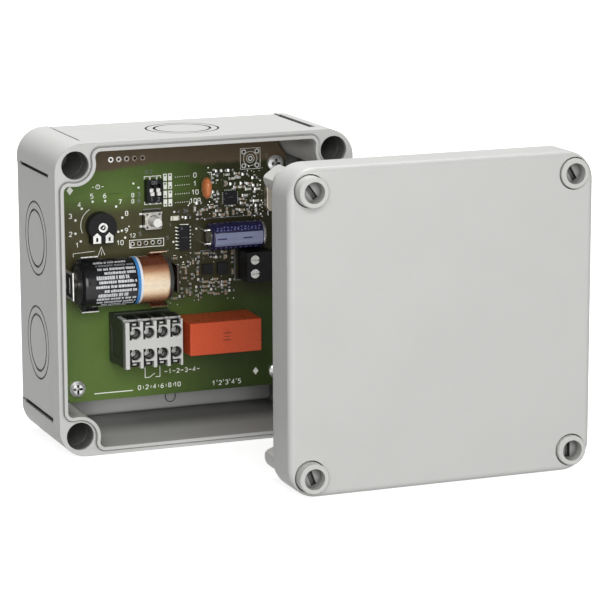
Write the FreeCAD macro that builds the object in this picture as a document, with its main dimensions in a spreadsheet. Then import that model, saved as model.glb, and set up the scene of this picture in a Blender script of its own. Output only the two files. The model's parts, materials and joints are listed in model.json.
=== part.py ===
import FreeCAD, Part
import os
import re
import Sketcher
from FreeCAD import Vector, Rotation, Placement

# Relay box of a wireless doorbell: a square surface-mounted wall box, open to
# the front, with a circuit board on four bosses, and a separate lid that
# stands in front and to the right, with a slotted plastic screw in each corner.
#
# Frame, in millimetres: X to the right, Y into the wall, Z up. The origin is
# the centre of the face that goes against the wall. The box stands on its
# lower side, so the floor under it is at Z = -box_side/2.

os.makedirs("parts", exist_ok=True)
doc = FreeCAD.newDocument("RelayBox")

# ---------------------------------------------------------------- dimensions
ROWS = [
    # housing
    ("box_side", 110.0, "outer width and height of the box"),
    ("base_deep", 47.5, "wall face to rim plane"),
    ("lid_deep", 15.0, "rim plane to lid front"),
    ("corner_rad", 10.0, "outer corner radius"),
    ("lid_edge_rad", 2.2, "soft front edge of the lid"),
    ("back_edge_rad", 1.2, "edge around the wall face"),
    ("back_thick", 2.5, "thickness of the wall side"),
    ("front_thick", 2.5, "thickness of the lid front"),
    ("rim_half", 52.1, "centre to inner face of the walls"),
    ("post_at", 48.0, "centre to corner post axis"),
    ("bore_at", 47.6, "centre to the axis of the screw bore in it"),
    ("post_rad", 7.6, "corner post radius"),
    ("post_hole_rad", 4.9, "mouth of the post hole"),
    ("post_ledge_rad", 4.65, "post hole behind its ledge"),
    ("post_ledge_deep", 7.6, "rim plane to ledge"),
    ("post_hole_deep", 24.0, "rim plane to floor of the post hole"),
    ("wall_hole_rad", 2.3, "hole for the wall screw"),
    ("tongue_high", 1.0, "raised lip on the rim"),
    ("tongue_thick", 1.2, "thickness of that lip"),
    ("groove_wide", 0.45, "thin groove outside the lip"),
    ("groove_deep", 0.8, "depth of that groove"),
    ("panel_half", 43.2, "centre to the side slots"),
    ("panel_sunk", 0.4, "how far the side panels are set back"),
    ("panel_start", 7.8, "rim plane to the step of the panels"),
    ("slot_wide", 1.3, "width of the side slots"),
    ("slot_deep", 1.7, "depth of the side slots"),
    ("slot_long", 34.4, "length of the side slots"),
    ("knock_y", -21.9, "cable entry axis, from the wall face"),
    ("knock_z", 18.7, "cable entry axes on the sides"),
    ("knock_out_rad", 13.2, "outer scored ring"),
    ("knock_in_rad", 10.4, "inner scored ring"),
    ("knock_score", 0.6, "depth of the scored rings"),
    ("knock_sunk_rad", 13.6, "thinned disc inside the wall"),
    ("knock_sunk", 0.8, "depth of that disc"),
    # lid place, off the box
    ("lid_off_x", 54.0, "lid stands this far to the right"),
    ("lid_off_y", -66.0, "and this far in front of its seat"),
    ("head_sink_rad", 5.5, "recess for the screw head"),
    ("head_sink_deep", 5.6, "depth of that recess"),
    ("stem_hole_rad", 3.9, "hole for the screw stem"),
    ("seal_play", 0.3, "play between lip and lid channel"),
    ("channel_deep", 2.4, "lid channel"),
    ("seal_thick", 1.3, "foam cord in the channel"),
    # cover screws
    ("head_rad", 5.15, "cover screw head"),
    ("head_long", 6.5, "cover screw head length"),
    ("head_dish_rad", 3.4, "sunk disc in the head"),
    ("head_dish_deep", 4.0, "its depth"),
    ("stem_rad", 3.5, "cover screw stem"),
    ("stem_end", 22.5, "head front to end of the stem"),
    ("cam_rad", 4.4, "thick tail of the cover screw"),
    ("cover_screw_long", 36.0, "overall length"),
    ("screw_slot_wide", 1.9, "driver slot"),
    ("screw_slot_long", 6.3, "driver slot"),
    ("screw_slot_deep", 2.0, "driver slot below the dish"),
    ("upper_right_proud", 1.2, "this head stands proud of the lid"),
    ("lower_right_proud", 1.7, "and this one"),
    ("lower_left_proud", 3.9, "a little loosened"),
    ("loose_proud", 4.4, "the loosened one stands this proud"),
    # circuit board
    ("board_front", -13.5, "component side of the board"),
    ("board_thick", 1.6, "board thickness"),
    ("board_left", -42.6, "board edges"),
    ("board_right", 42.6, "board edges"),
    ("board_low", -43.8, "board edges"),
    ("board_high", 49.2, "board edges"),
    ("board_notch_rad", 8.3, "cut-out round the corner posts"),
    ("boss_x", 38.3, "board boss axes"),
    ("boss_z", 38.7, "board boss axes"),
    ("boss_rad", 3.4, "board boss"),
    ("pilot_rad", 1.3, "screw hole in the boss"),
    ("board_hole_rad", 1.7, "screw hole in the board"),
    ("board_screw_head_rad", 2.9, "pan head"),
    ("board_screw_shank_rad", 1.2, "shank"),
    ("board_screw_shank_long", 7.5, "shank under the head"),
    # battery and its clips
    ("cell_rad", 8.5, "battery radius"),
    ("cell_left", -40.3, "minus end"),
    ("cell_long", 33.6, "minus end to shoulder"),
    ("cell_z", 1.2, "battery axis height"),
    ("clip_rad", 8.8, "inner radius of the clips"),
    ("clip_thick", 0.45, "clip sheet"),
    ("clip_wide", 6.4, "clip width"),
    ("clip_left_x", -39.2, "left clip, left edge"),
    ("clip_right_x", -13.6, "right clip, left edge"),
    ("clip_axis_y", -22.75, "battery axis in front of the board"),
    # timer dial, switch, button
    ("dial_x", -28.8, "timer dial axis"),
    ("dial_z", 20.05, "timer dial axis"),
    ("dial_rad", 5.2, "timer dial housing"),
    ("dial_high", 4.8, "timer dial housing above the board"),
    ("dial_rotor_rad", 1.7, "timer dial rotor"),
    ("fit_play", 0.06, "running play of small turning pieces"),
    ("dip_x", -8.75, "timer range switch centre"),
    ("dip_z", 31.6, "timer range switch centre"),
    ("dip_wide", 6.0, "along X"),
    ("dip_tall", 8.1, "along Z"),
    ("dip_high", 3.6, "above the board"),
    ("dip_pitch", 2.54, "slider pitch"),
    ("dip_slot_long", 4.2, "slider slot"),
    ("dip_slot_wide", 1.6, "slider slot"),
    ("dip_knob_wide", 1.36, "slider"),
    ("dip_knob_tall", 1.2, "slider"),
    ("dip_travel", 1.5, "slider travel"),
    ("key_x", -9.5, "learn button centre"),
    ("key_z", 21.0, "learn button centre"),
    ("key_side", 6.2, "learn button case"),
    ("key_base_high", 1.5, "learn button base"),
    ("key_cover_high", 3.6, "top of the metal cover"),
    ("key_stem_rad", 1.65, "learn button stem"),
    ("key_stem_high", 8.5, "stem top above the board"),
    ("key_stem_play", 0.08, "play of the stem in the cover"),
    ("led_x", -0.3, "status light"),
    ("led_z", 20.85, "status light"),
    # chips
    ("logic_x", 2.8, "fourteen pin chip centre"),
    ("logic_z", 13.6, "fourteen pin chip centre"),
    ("logic_wide", 3.9, "body"),
    ("logic_tall", 8.65, "body"),
    ("logic_high", 1.7, "top above the board"),
    ("logic_pitch", 1.27, "lead pitch"),
    ("radio_x", 20.9, "radio chip"),
    ("radio_z", 26.95, "radio chip"),
    ("radio_side", 5.0, "radio chip"),
    ("crystal_x", 33.9, "crystal can, left side"),
    ("crystal_z", 21.5, "crystal can, lower end"),
    ("crystal_wide", 4.7, "crystal can"),
    ("crystal_tall", 11.5, "crystal can"),
    ("crystal_high", 3.7, "crystal can"),
    ("buffer_x", 10.9, "buffer capacitor, left end"),
    ("buffer_z", 14.0, "buffer capacitor axis"),
    ("buffer_rad", 5.0, "sleeve radius"),
    ("buffer_can_rad", 4.75, "can radius"),
    ("buffer_long", 20.8, "sleeve length"),
    ("disc_x", 10.2, "ceramic capacitor centre"),
    ("disc_z", 32.05, "ceramic capacitor centre"),
    ("disc_rad", 4.0, "ceramic capacitor"),
    ("disc_thick", 2.9, "ceramic capacitor"),
    # relay
    ("relay_x", -0.85, "relay, left end"),
    ("relay_z", -27.25, "relay, lower side"),
    ("relay_long", 28.3, "relay"),
    ("relay_tall", 12.4, "relay"),
    ("relay_high", 15.7, "relay above the board"),
    ("relay_draft", 0.5, "each side of the cover leans in"),
    ("relay_wall", 0.8, "cover wall"),
    ("coil_rad", 4.3, "winding"),
    ("coil_core_rad", 1.7, "iron core"),
    # mains terminal
    ("mains_x", -25.8, "four pole terminal, left side"),
    ("mains_z", -29.3, "four pole terminal, lower side"),
    ("mains_long", 22.0, "four pole terminal"),
    ("mains_tall", 16.9, "four pole terminal"),
    ("mains_high", 17.5, "above the board"),
    ("mains_plate", 0.6, "end plate on its left"),
    ("mains_front_deep", 9.5, "light front part"),
    ("mains_first_x", -21.4, "first pole axis"),
    ("mains_pitch", 5.08, "pole pitch"),
    ("mains_upper_z", -16.7, "upper wire entries"),
    ("mains_lower_z", -24.4, "lower wire entries"),
    ("mains_entry_rad", 1.9, "wire entries"),
    # bell push terminal
    ("bell_x", 23.8, "two pole terminal, left side"),
    ("bell_z", -2.9, "two pole terminal, lower side"),
    ("bell_wide", 10.0, "along X"),
    ("bell_tall", 11.0, "along Z"),
    ("bell_high", 10.0, "above the board"),
    ("bell_screw_x", 27.0, "clamp screw axes"),
    ("bell_mid_z", 2.6, "between the poles"),
    ("bell_pitch", 5.08, "pole pitch"),
    ("bell_well_rad", 1.95, "screw well"),
    ("bell_head_rad", 1.7, "clamp screw head"),
    ("bell_thread_rad", 1.2, "clamp screw thread"),
]

sheet = doc.addObject("Spreadsheet::Sheet", "Dims")
VAL = {}
for row, (alias, value, note) in enumerate(ROWS, start=1):
    sheet.set("A%d" % row, note)
    sheet.set("B%d" % row, repr(value))
    sheet.setAlias("B%d" % row, alias)
    VAL[alias] = value
doc.recompute()


def bound(text):
    """An expression in which every alias reads its cell of the sheet."""
    return re.sub(
        r"[A-Za-z_]+",
        lambda m: "Dims." + m.group(0) if m.group(0) in VAL else m.group(0),
        text,
    )


def put(obj, prop, value):
    """Set a size or a place: a number as it is, a text as an expression."""
    if isinstance(value, str):
        obj.setExpression(prop, bound(value))
    else:
        obj.setExpression(prop, repr(float(value)))


def t(*parts):
    return " ".join("(%s)" % p if isinstance(p, str) and p not in "+-*/" else str(p) for p in parts)


made = []


def add(kind, name):
    obj = doc.addObject(kind, name)
    made.append(obj)
    return obj


def at(obj, x, y, z):
    put(obj, "Placement.Base.x", x)
    put(obj, "Placement.Base.y", y)
    put(obj, "Placement.Base.z", z)
    return obj


def box(name, x, y, z, dx, dy, dz):
    obj = add("Part::Box", name)
    put(obj, "Length", dx)
    put(obj, "Width", dy)
    put(obj, "Height", dz)
    return at(obj, x, y, z)


TURN = {
    "x": Rotation(Vector(0, 1, 0), 90),
    "y": Rotation(Vector(1, 0, 0), -90),
    "z": Rotation(),
}


def cyl(name, axis, x, y, z, rad, long):
    obj = add("Part::Cylinder", name)
    put(obj, "Radius", rad)
    put(obj, "Height", long)
    obj.Placement = Placement(Vector(), TURN[axis])
    return at(obj, x, y, z)


def cone(name, axis, x, y, z, rad_a, rad_b, long):
    obj = add("Part::Cone", name)
    put(obj, "Radius1", rad_a)
    put(obj, "Radius2", rad_b)
    put(obj, "Height", long)
    obj.Placement = Placement(Vector(), TURN[axis])
    return at(obj, x, y, z)


def fuse(name, shapes):
    obj = add("Part::MultiFuse", name)
    obj.Shapes = shapes
    return obj


def cut(name, base, tools):
    if not isinstance(tools, list):
        tools = [tools]
    tool = tools[0] if len(tools) == 1 else fuse(name + "_tools", tools)
    obj = add("Part::Cut", name)
    obj.Base = base
    obj.Tool = tool
    return obj


def group(name, members):
    obj = add("Part::Compound", name)
    obj.Links = members
    return obj


def rounded(name, base, pick, radius):
    """A fillet on the edges that pick names, found on the computed shape."""
    doc.recompute()
    edges = [i for i, e in enumerate(base.Shape.Edges, start=1) if pick(e)]
    if not edges:
        raise RuntimeError("no edges to round on " + base.Name)
    obj = add("Part::Fillet", name)
    obj.Base = base
    obj.Edges = [(i, radius, radius) for i in edges]
    return obj


def along(edge, axis):
    """Whether a straight edge runs along one axis."""
    box_ = edge.BoundBox
    size = {"x": box_.XLength, "y": box_.YLength, "z": box_.ZLength}
    return size[axis] > 1e-6 and all(v < 1e-6 for k, v in size.items() if k != axis)


def face_edge(edge, axis, place):
    """Whether an edge lies in the plane where axis = place."""
    box_ = edge.BoundBox
    lo, hi = {
        "x": (box_.XMin, box_.XMax),
        "y": (box_.YMin, box_.YMax),
        "z": (box_.ZMin, box_.ZMax),
    }[axis]
    return abs(lo - place) < 1e-4 and abs(hi - place) < 1e-4


NODES = {}


def node(name, obj):
    """Give the finished piece the name of its file."""
    obj.Label = name
    NODES[name] = obj
    return obj


# ------------------------------------------------------- sketch-based pieces
def body(name):
    obj = doc.addObject("PartDesign::Body", name + "_body")
    made.append(obj)
    return obj


def sketch(of_body, role, name, lift=None):
    """A sketch on one of the body's own origin planes, lifted along its normal."""
    obj = of_body.newObject("Sketcher::SketchObject", name)
    plane = [f for f in of_body.Origin.OriginFeatures if f.Role == role][0]
    obj.AttachmentSupport = (plane, [""])
    obj.MapMode = "FlatFace"
    if lift is not None:
        put(obj, "AttachmentOffset.Base.z", lift)
    made.append(obj)
    return obj


def number(value):
    """The number that an expression of sheet cells gives, from a cell of its own."""
    if not isinstance(value, str):
        return float(value)
    return float(scratch_value(value))


scratch = add("App::FeaturePython", "Scratch")
scratch.addProperty("App::PropertyFloat", "Value")


def scratch_value(text):
    scratch.setExpression("Value", bound(text))
    scratch.recompute()
    return scratch.Value


def polygon(sk, points):
    """A closed outline whose corners are tied to the sketch origin by the sheet."""
    first = sk.GeometryCount
    nums = [(number(a), number(b)) for a, b in points]
    count = len(points)
    for i in range(count):
        a, b = nums[i], nums[(i + 1) % count]
        sk.addGeometry(Part.LineSegment(Vector(a[0], a[1], 0), Vector(b[0], b[1], 0)), False)
    for i in range(count):
        sk.addConstraint(
            Sketcher.Constraint("Coincident", first + i, 2, first + (i + 1) % count, 1)
        )
    for i, (a, b) in enumerate(points):
        for kind, value, num in (("DistanceX", a, nums[i][0]), ("DistanceY", b, nums[i][1])):
            if abs(num) < 1e-9:
                line = -2 if kind == "DistanceX" else -1
                sk.addConstraint(Sketcher.Constraint("PointOnObject", first + i, 1, line))
            else:
                k = sk.addConstraint(Sketcher.Constraint(kind, -1, 1, first + i, 1, num))
                if isinstance(value, str):
                    sk.setExpression("Constraints[%d]" % k, bound(value))
    return sk


def circle(sk, a, b, rad):
    """A circle tied to the sketch origin."""
    x, y = number(a), number(b)
    g = sk.addGeometry(Part.Circle(Vector(x, y, 0), Vector(0, 0, 1), number(rad)), False)
    for kind, value, num in (("DistanceX", a, x), ("DistanceY", b, y)):
        if abs(num) < 1e-9:
            line = -2 if kind == "DistanceX" else -1
            sk.addConstraint(Sketcher.Constraint("PointOnObject", g, 3, line))
        else:
            k = sk.addConstraint(Sketcher.Constraint(kind, -1, 1, g, 3, num))
            if isinstance(value, str):
                sk.setExpression("Constraints[%d]" % k, bound(value))
    k = sk.addConstraint(Sketcher.Constraint("Radius", g, number(rad)))
    if isinstance(rad, str):
        sk.setExpression("Constraints[%d]" % k, bound(rad))
    return g


def feature(of_body, kind, name, profile, **sizes):
    obj = of_body.newObject(kind, name)
    obj.Profile = profile
    for key, value in sizes.items():
        if isinstance(value, str) and key in ("Length", "Angle"):
            put(obj, key, value)
        else:
            setattr(obj, key, value)
    of_body.Tip = obj
    made.append(obj)
    doc.recompute()
    return obj


def pocket(of_body, name, profile, want_less=True, **sizes):
    """A pocket that is checked to take material away."""
    before = of_body.Shape.Volume
    obj = feature(of_body, "PartDesign::Pocket", name, profile, **sizes)
    if of_body.Shape.Volume > before - 1e-6:
        obj.Reversed = not obj.Reversed
        doc.recompute()
    if of_body.Shape.Volume > before - 1e-6:
        raise RuntimeError(name + " cuts nothing")
    return obj


CORNERS = [(-1, 1, "upper_left"), (1, 1, "upper_right"), (-1, -1, "lower_left"), (1, -1, "lower_right")]


# ---------------------------------------------------------------- rim outline
def rim_solid(tag, off, y, deep):
    """The room inside the rim, as a solid: a square with a round post left out
    of each corner, widened by off all round. The same outline carries the
    lip, the groove, the lid channel and the seal, so they stay parallel."""
    side = "2*(rim_half + (%s))" % off
    low = "-(rim_half + (%s))" % off
    block = box(tag + "_block", low, y, low, side, deep, side)
    posts = [
        cyl(
            "%s_post%d" % (tag, i),
            "y",
            "%d*post_at" % sx,
            y,
            "%d*post_at" % sz,
            "post_rad - (%s)" % off,
            deep,
        )
        for i, (sx, sz, _) in enumerate(CORNERS)
    ]
    # what lies outward of each post axis belongs to the post as well
    posts += [
        box(
            "%s_outward%d" % (tag, i),
            "post_at" if sx > 0 else "-post_at - 9",
            y,
            "post_at" if sz > 0 else "-post_at - 9",
            9,
            deep,
            9,
        )
        for i, (sx, sz, _) in enumerate(CORNERS)
    ]
    room = cut(tag + "_room", block, posts)
    wide = number("rim_half + (%s)" % off)
    bend = 2.0 + number(off)
    if bend < 0.5:
        return room

    def junction(edge):
        c = edge.CenterOfMass
        return along(edge, "y") and abs(max(abs(c.x), abs(c.z)) - wide) < 1e-3

    return rounded(tag + "_soft", room, junction, bend)


def rim_ring(tag, outer, inner, y, deep):
    return cut(
        tag,
        rim_solid(tag + "_out", outer, y, deep),
        rim_solid(tag + "_in", inner, "(%s) - 0.5" % y, "(%s) + 1" % deep),
    )


# ---------------------------------------------------------------- base shell
block = box("base_block", "-box_side/2", "-base_deep", "-box_side/2", "box_side", "base_deep", "box_side")
block = rounded("base_corners", block, lambda e: along(e, "y"), VAL["corner_rad"])
block = rounded("base_edges", block, lambda e: face_edge(e, "y", 0), VAL["back_edge_rad"])

lip = rim_solid("base_lip", "tongue_thick", "-base_deep - tongue_high", "tongue_high + 2")
solid = fuse("base_solid", [block, lip])

away = [
    rim_solid("base_room", "0", "-base_deep - tongue_high - 1", "base_deep + tongue_high + 1 - back_thick"),
    rim_ring("base_groove", "tongue_thick + groove_wide", "tongue_thick", "-base_deep - 0.5", "groove_deep + 0.5"),
]
for i, (sx, sz, _) in enumerate(CORNERS):
    x, z = "%d*bore_at" % sx, "%d*bore_at" % sz
    away += [
        cyl("post_mouth%d" % i, "y", x, "-base_deep - 1", z, "post_hole_rad", "post_ledge_deep + 1"),
        cyl("post_deep%d" % i, "y", x, "-base_deep", z, "post_ledge_rad", "post_hole_deep"),
        cyl("wall_hole%d" % i, "y", "%d*post_at" % sx, "-base_deep", "%d*post_at" % sz, "wall_hole_rad", "base_deep + 1"),
    ]

# the side panels, set back a little between the slots, open to the wall side
panel_y = "-base_deep + panel_start"
panel_dy = "base_deep - panel_start + 1"
for s in (-1, 1):
    near = "-box_side/2 - 1" if s < 0 else "box_side/2 - panel_sunk"
    away.append(box("panel_side%d" % s, near, panel_y, "-panel_half", "1 + panel_sunk", panel_dy, "2*panel_half"))
    away.append(box("panel_flat%d" % s, "-panel_half", panel_y, near, "2*panel_half", panel_dy, "1 + panel_sunk"))
    slot_near = "-box_side/2 - 1" if s < 0 else "box_side/2 - slot_deep"
    for e in (-1, 1):
        edge_at = "%d*panel_half - slot_wide/2" % e
        away.append(box("slot_side%d%d" % (s, e), slot_near, panel_y, edge_at, "1 + slot_deep", "slot_long", "slot_wide"))
        away.append(box("slot_flat%d%d" % (s, e), edge_at, panel_y, slot_near, "slot_wide", "slot_long", "1 + slot_deep"))


def entry_cuts(tag, axis, sign, u):
    """Two scored rings outside round one cable entry, u along the wall. The left
    and right walls also have a thinned disc inside."""
    cuts = []
    out_face = "box_side/2 - panel_sunk"
    for k, (big, small) in enumerate(
        (("knock_out_rad", "knock_out_rad - 0.6"), ("knock_in_rad", "knock_in_rad - 0.8"))
    ):
        start = "%s - knock_score" % out_face if sign > 0 else "-(%s) - 1" % out_face
        long = "knock_score + 1"
        if axis == "x":
            place = (start, "knock_y", u)
        else:
            place = (u, "knock_y", start)
        cuts.append(
            cut(
                "%s_ring%d" % (tag, k),
                cyl("%s_big%d" % (tag, k), axis, place[0], place[1], place[2], big, long),
                cyl("%s_small%d" % (tag, k), axis, place[0], place[1], place[2], small, long),
            )
        )
    if axis == "x":
        start = "rim_half - 0.5" if sign > 0 else "-rim_half - knock_sunk"
        cuts.append(cyl(tag + "_thin", axis, start, "knock_y", u, "knock_sunk_rad", "knock_sunk + 0.5"))
    return cuts


for s in (-1, 1):
    side = "left" if s < 0 else "right"
    away += entry_cuts("entry_%s_upper" % side, "x", s, "knock_z")
    away += entry_cuts("entry_%s_lower" % side, "x", s, "-knock_z")
    away += entry_cuts("entry_%s" % ("bottom" if s < 0 else "top"), "z", s, "0")

# a small round mould mark on the inner back wall, under the board
away.append(
    cut(
        "mould_mark",
        cyl("mould_mark_big", "y", 0.9, "-back_thick - 0.2", -47.6, 2.15, 0.5),
        cyl("mould_mark_small", "y", 0.9, "-back_thick - 0.2", -47.6, 1.75, 0.5),
    )
)
shell = cut("base_hollow", solid, away)

boss_long = "-(board_front + board_thick) - back_thick"
bosses, pilots = [], []
for i, (sx, sz, _) in enumerate(CORNERS):
    x, z = "%d*boss_x" % sx, "%d*boss_z" % sz
    bosses.append(cyl("boss%d" % i, "y", x, "board_front + board_thick", z, "boss_rad", boss_long + " + 0.5"))
    pilots.append(cyl("pilot%d" % i, "y", x, "board_front", z, "pilot_rad", "board_thick + 8.5"))
shell = cut("base_shell_cut", fuse("base_with_bosses", [shell] + bosses), pilots)
node("base_shell", shell)

# ---------------------------------------------------------------- lid
lid = box("lid_block", "-box_side/2", "-base_deep - lid_deep", "-box_side/2", "box_side", "lid_deep", "box_side")
lid = rounded("lid_corners", lid, lambda e: along(e, "y"), VAL["corner_rad"])
front = -VAL["base_deep"] - VAL["lid_deep"]
lid = rounded("lid_edges", lid, lambda e: face_edge(e, "y", front), VAL["lid_edge_rad"])
lid_away = [
    rim_solid("lid_room", "1", "-base_deep - lid_deep + front_thick", "lid_deep - front_thick - 5"),
    rim_solid("lid_mouth", "-1.8", "-base_deep - 5.1", "6"),
    rim_ring("lid_channel", "tongue_thick + seal_play", "-seal_play", "-base_deep - channel_deep", "channel_deep + 1"),
]
for i, (sx, sz, _) in enumerate(CORNERS):
    x, z = "%d*bore_at" % sx, "%d*bore_at" % sz
    lid_away.append(cyl("head_sink%d" % i, "y", x, "-base_deep - lid_deep - 1", z, "head_sink_rad", "head_sink_deep + 1"))
    lid_away.append(cyl("stem_hole%d" % i, "y", x, "-base_deep - lid_deep", z, "stem_hole_rad", "lid_deep + 1"))
lid = cut("lid_shell_cut", lid, lid_away)
put(lid, "Placement.Base.x", "lid_off_x")
put(lid, "Placement.Base.y", "lid_off_y")
node("lid_shell", lid)

seal = rim_ring("lid_seal_ring", "tongue_thick + 0.1", "-0.1", "-base_deep - channel_deep", "seal_thick")
put(seal, "Placement.Base.x", "lid_off_x")
put(seal, "Placement.Base.y", "lid_off_y")
node("lid_seal", seal)


def cover_screw(label, sx, sz, turn, proud):
    """A plastic cover screw: slotted head with a sunk disc, a thinner stem that
    keeps it in the lid, and a thick tail with one flat that locks in the post."""
    b = body(label)
    sk = sketch(b, "XY_Plane", label + "_profile")
    polygon(
        sk,
        [
            (0, "head_dish_deep"),
            ("head_dish_rad", "head_dish_deep"),
            ("head_dish_rad + 0.15", 0),
            ("head_rad - 0.35", 0),
            ("head_rad", 0.35),
            ("head_rad", "head_long"),
            ("stem_rad", "head_long"),
            ("stem_rad", "stem_end"),
            ("cam_rad", "stem_end + 0.6"),
            ("cam_rad", "cover_screw_long - 1.0"),
            ("cam_rad - 0.8", "cover_screw_long"),
            (0, "cover_screw_long"),
        ],
    )
    feature(b, "PartDesign::Revolution", label + "_turned", sk, ReferenceAxis=(sk, ["V_Axis"]), Angle=360.0)
    slot = sketch(b, "XZ_Plane", label + "_slot", "-head_dish_deep")
    polygon(
        slot,
        [
            ("-screw_slot_long/2", "-screw_slot_wide/2"),
            ("screw_slot_long/2", "-screw_slot_wide/2"),
            ("screw_slot_long/2", "screw_slot_wide/2"),
            ("-screw_slot_long/2", "screw_slot_wide/2"),
        ],
    )
    pocket(b, label + "_slot_cut", slot, Length="screw_slot_deep")
    flat = sketch(b, "XZ_Plane", label + "_flat", "-cover_screw_long - 0.1")
    polygon(
        flat,
        [
            ("cam_rad - 1.5", "-cam_rad - 1"),
            ("cam_rad + 1", "-cam_rad - 1"),
            ("cam_rad + 1", "cam_rad + 1"),
            ("cam_rad - 1.5", "cam_rad + 1"),
        ],
    )
    cut_flat = pocket(b, label + "_flat_cut", flat, Length=10.0)
    b.Placement = Placement(Vector(), Rotation(Vector(0, 1, 0), turn))
    at(
        b,
        "lid_off_x + %d*bore_at" % sx,
        "lid_off_y - base_deep - lid_deep - %s" % proud,
        "%d*bore_at" % sz,
    )
    return node(label, b)


cover_screw("cover_screw_upper_left", -1, 1, -126, "loose_proud")
cover_screw("cover_screw_upper_right", 1, 1, -119, "upper_right_proud")
cover_screw("cover_screw_lower_left", -1, -1, -111, "lower_left_proud")
cover_screw("cover_screw_lower_right", 1, -1, -90, "lower_right_proud")

# ---------------------------------------------------------------- circuit board
board = body("circuit_board")
sk = sketch(board, "XZ_Plane", "board_outline")
polygon(
    sk,
    [
        ("board_left", "board_low"),
        ("board_right", "board_low"),
        ("board_right", "board_high"),
        ("board_left", "board_high"),
    ],
)
feature(board, "PartDesign::Pad", "board_pad", sk, Length="board_thick")
notch = sketch(board, "XZ_Plane", "board_notches", -1.0)
for sx, sz, _ in CORNERS:
    circle(notch, "%d*post_at" % sx, "%d*post_at" % sz, "board_notch_rad")
pocket(board, "board_notch_cut", notch, Type="ThroughAll", Midplane=True)
holes = sketch(board, "XZ_Plane", "board_holes", -1.0)
for sx, sz, _ in CORNERS:
    circle(holes, "%d*boss_x" % sx, "%d*boss_z" % sz, "board_hole_rad")

PAD_ROW = [(-24.0 + 2.97 * i, 43.45) for i in range(5)]
AERIAL = [(28.9, 40.8), (26.35, 43.35), (31.45, 43.35), (26.35, 38.25), (31.45, 38.25)]
HEADER = [(-16.4 + 2.54 * i, 12.55) for i in range(5)]
for x, z in PAD_ROW + AERIAL + HEADER:
    circle(holes, x, z, 0.5)
MAINS_PINS = [(-21.4 + 5.08 * i, z) for i in range(4) for z in (-15.1, -26.1)]
RELAY_PINS = [(x, z) for x in (1.9, 15.2, 20.2, 25.1) for z in (-24.8, -17.3)]
BELL_PINS = [(24.7, 5.14), (24.7, 0.06)]
for x, z in MAINS_PINS + RELAY_PINS + BELL_PINS:
    circle(holes, x, z, 0.65)
pocket(board, "board_hole_cut", holes, Type="ThroughAll", Midplane=True)
put(board, "Placement.Base.y", "board_front + board_thick")
node("circuit_board", board)

# four pan head screws with a cross recess hold the board to its bosses
screws = []
for i, (sx, sz, _) in enumerate(CORNERS):
    x, z = "%d*boss_x" % sx, "%d*boss_z" % sz
    tag = "board_screw%d" % i
    head = fuse(
        tag + "_blank",
        [
            cyl(tag + "_head", "y", x, "board_front - 1.2", z, "board_screw_head_rad", 1.2),
            cone(tag + "_crown", "y", x, "board_front - 1.9", z, "board_screw_head_rad - 1.1", "board_screw_head_rad", 0.7),
            cyl(tag + "_shank", "y", x, "board_front - 0.5", z, "board_screw_shank_rad", "board_screw_shank_long + 0.5"),
        ],
    )
    cross = [
        box(tag + "_cross_a", x + " - 1.7", "board_front - 2.5", z + " - 0.42", 3.4, 1.7, 0.84),
        box(tag + "_cross_b", x + " - 0.42", "board_front - 2.5", z + " - 1.7", 0.84, 1.7, 3.4),
    ]
    screws.append(cut(tag, head, cross))
node("board_screws", group("board_screws_set", screws))


def rings(name, places, rad, hole, thick):
    return [
        cut(
            "%s%d" % (name, i),
            cyl("%s_disc%d" % (name, i), "y", x, "board_front - %s" % thick, z, rad, thick),
            cyl("%s_hole%d" % (name, i), "y", x, "board_front - 1", z, hole, 2),
        )
        for i, (x, z) in enumerate(places)
    ]


node(
    "solder_pads",
    group(
        "solder_pads_set",
        rings("row_pad", PAD_ROW, 1.0, 0.5, 0.08)
        + rings("aerial_pad", AERIAL, 0.95, 0.5, 0.08)
        + rings("header_pad", HEADER, 0.85, 0.5, 0.08),
    ),
)

# ---------------------------------------------------------------- battery
cell = body("battery_cell")
sk = sketch(cell, "XY_Plane", "cell_profile")
polygon(
    sk,
    [
        (0, 0),
        (0, "cell_rad - 1.3"),
        (0.5, "cell_rad - 0.5"),
        (1.0, "cell_rad"),
        ("cell_long - 1.4", "cell_rad"),
        ("cell_long - 0.5", "cell_rad - 0.3"),
        ("cell_long", "cell_rad - 1.1"),
        ("cell_long", "cell_rad - 1.5"),
        ("cell_long + 0.5", "cell_rad - 1.6"),
        ("cell_long + 0.5", 3.3),
        ("cell_long + 1.4", 3.0),
        ("cell_long + 1.4", 0),
    ],
)
feature(cell, "PartDesign::Revolution", "cell_turned", sk, ReferenceAxis=(sk, ["H_Axis"]), Angle=360.0)
at(cell, "cell_left", "clip_axis_y", "cell_z")
node("battery_cell", cell)


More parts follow.
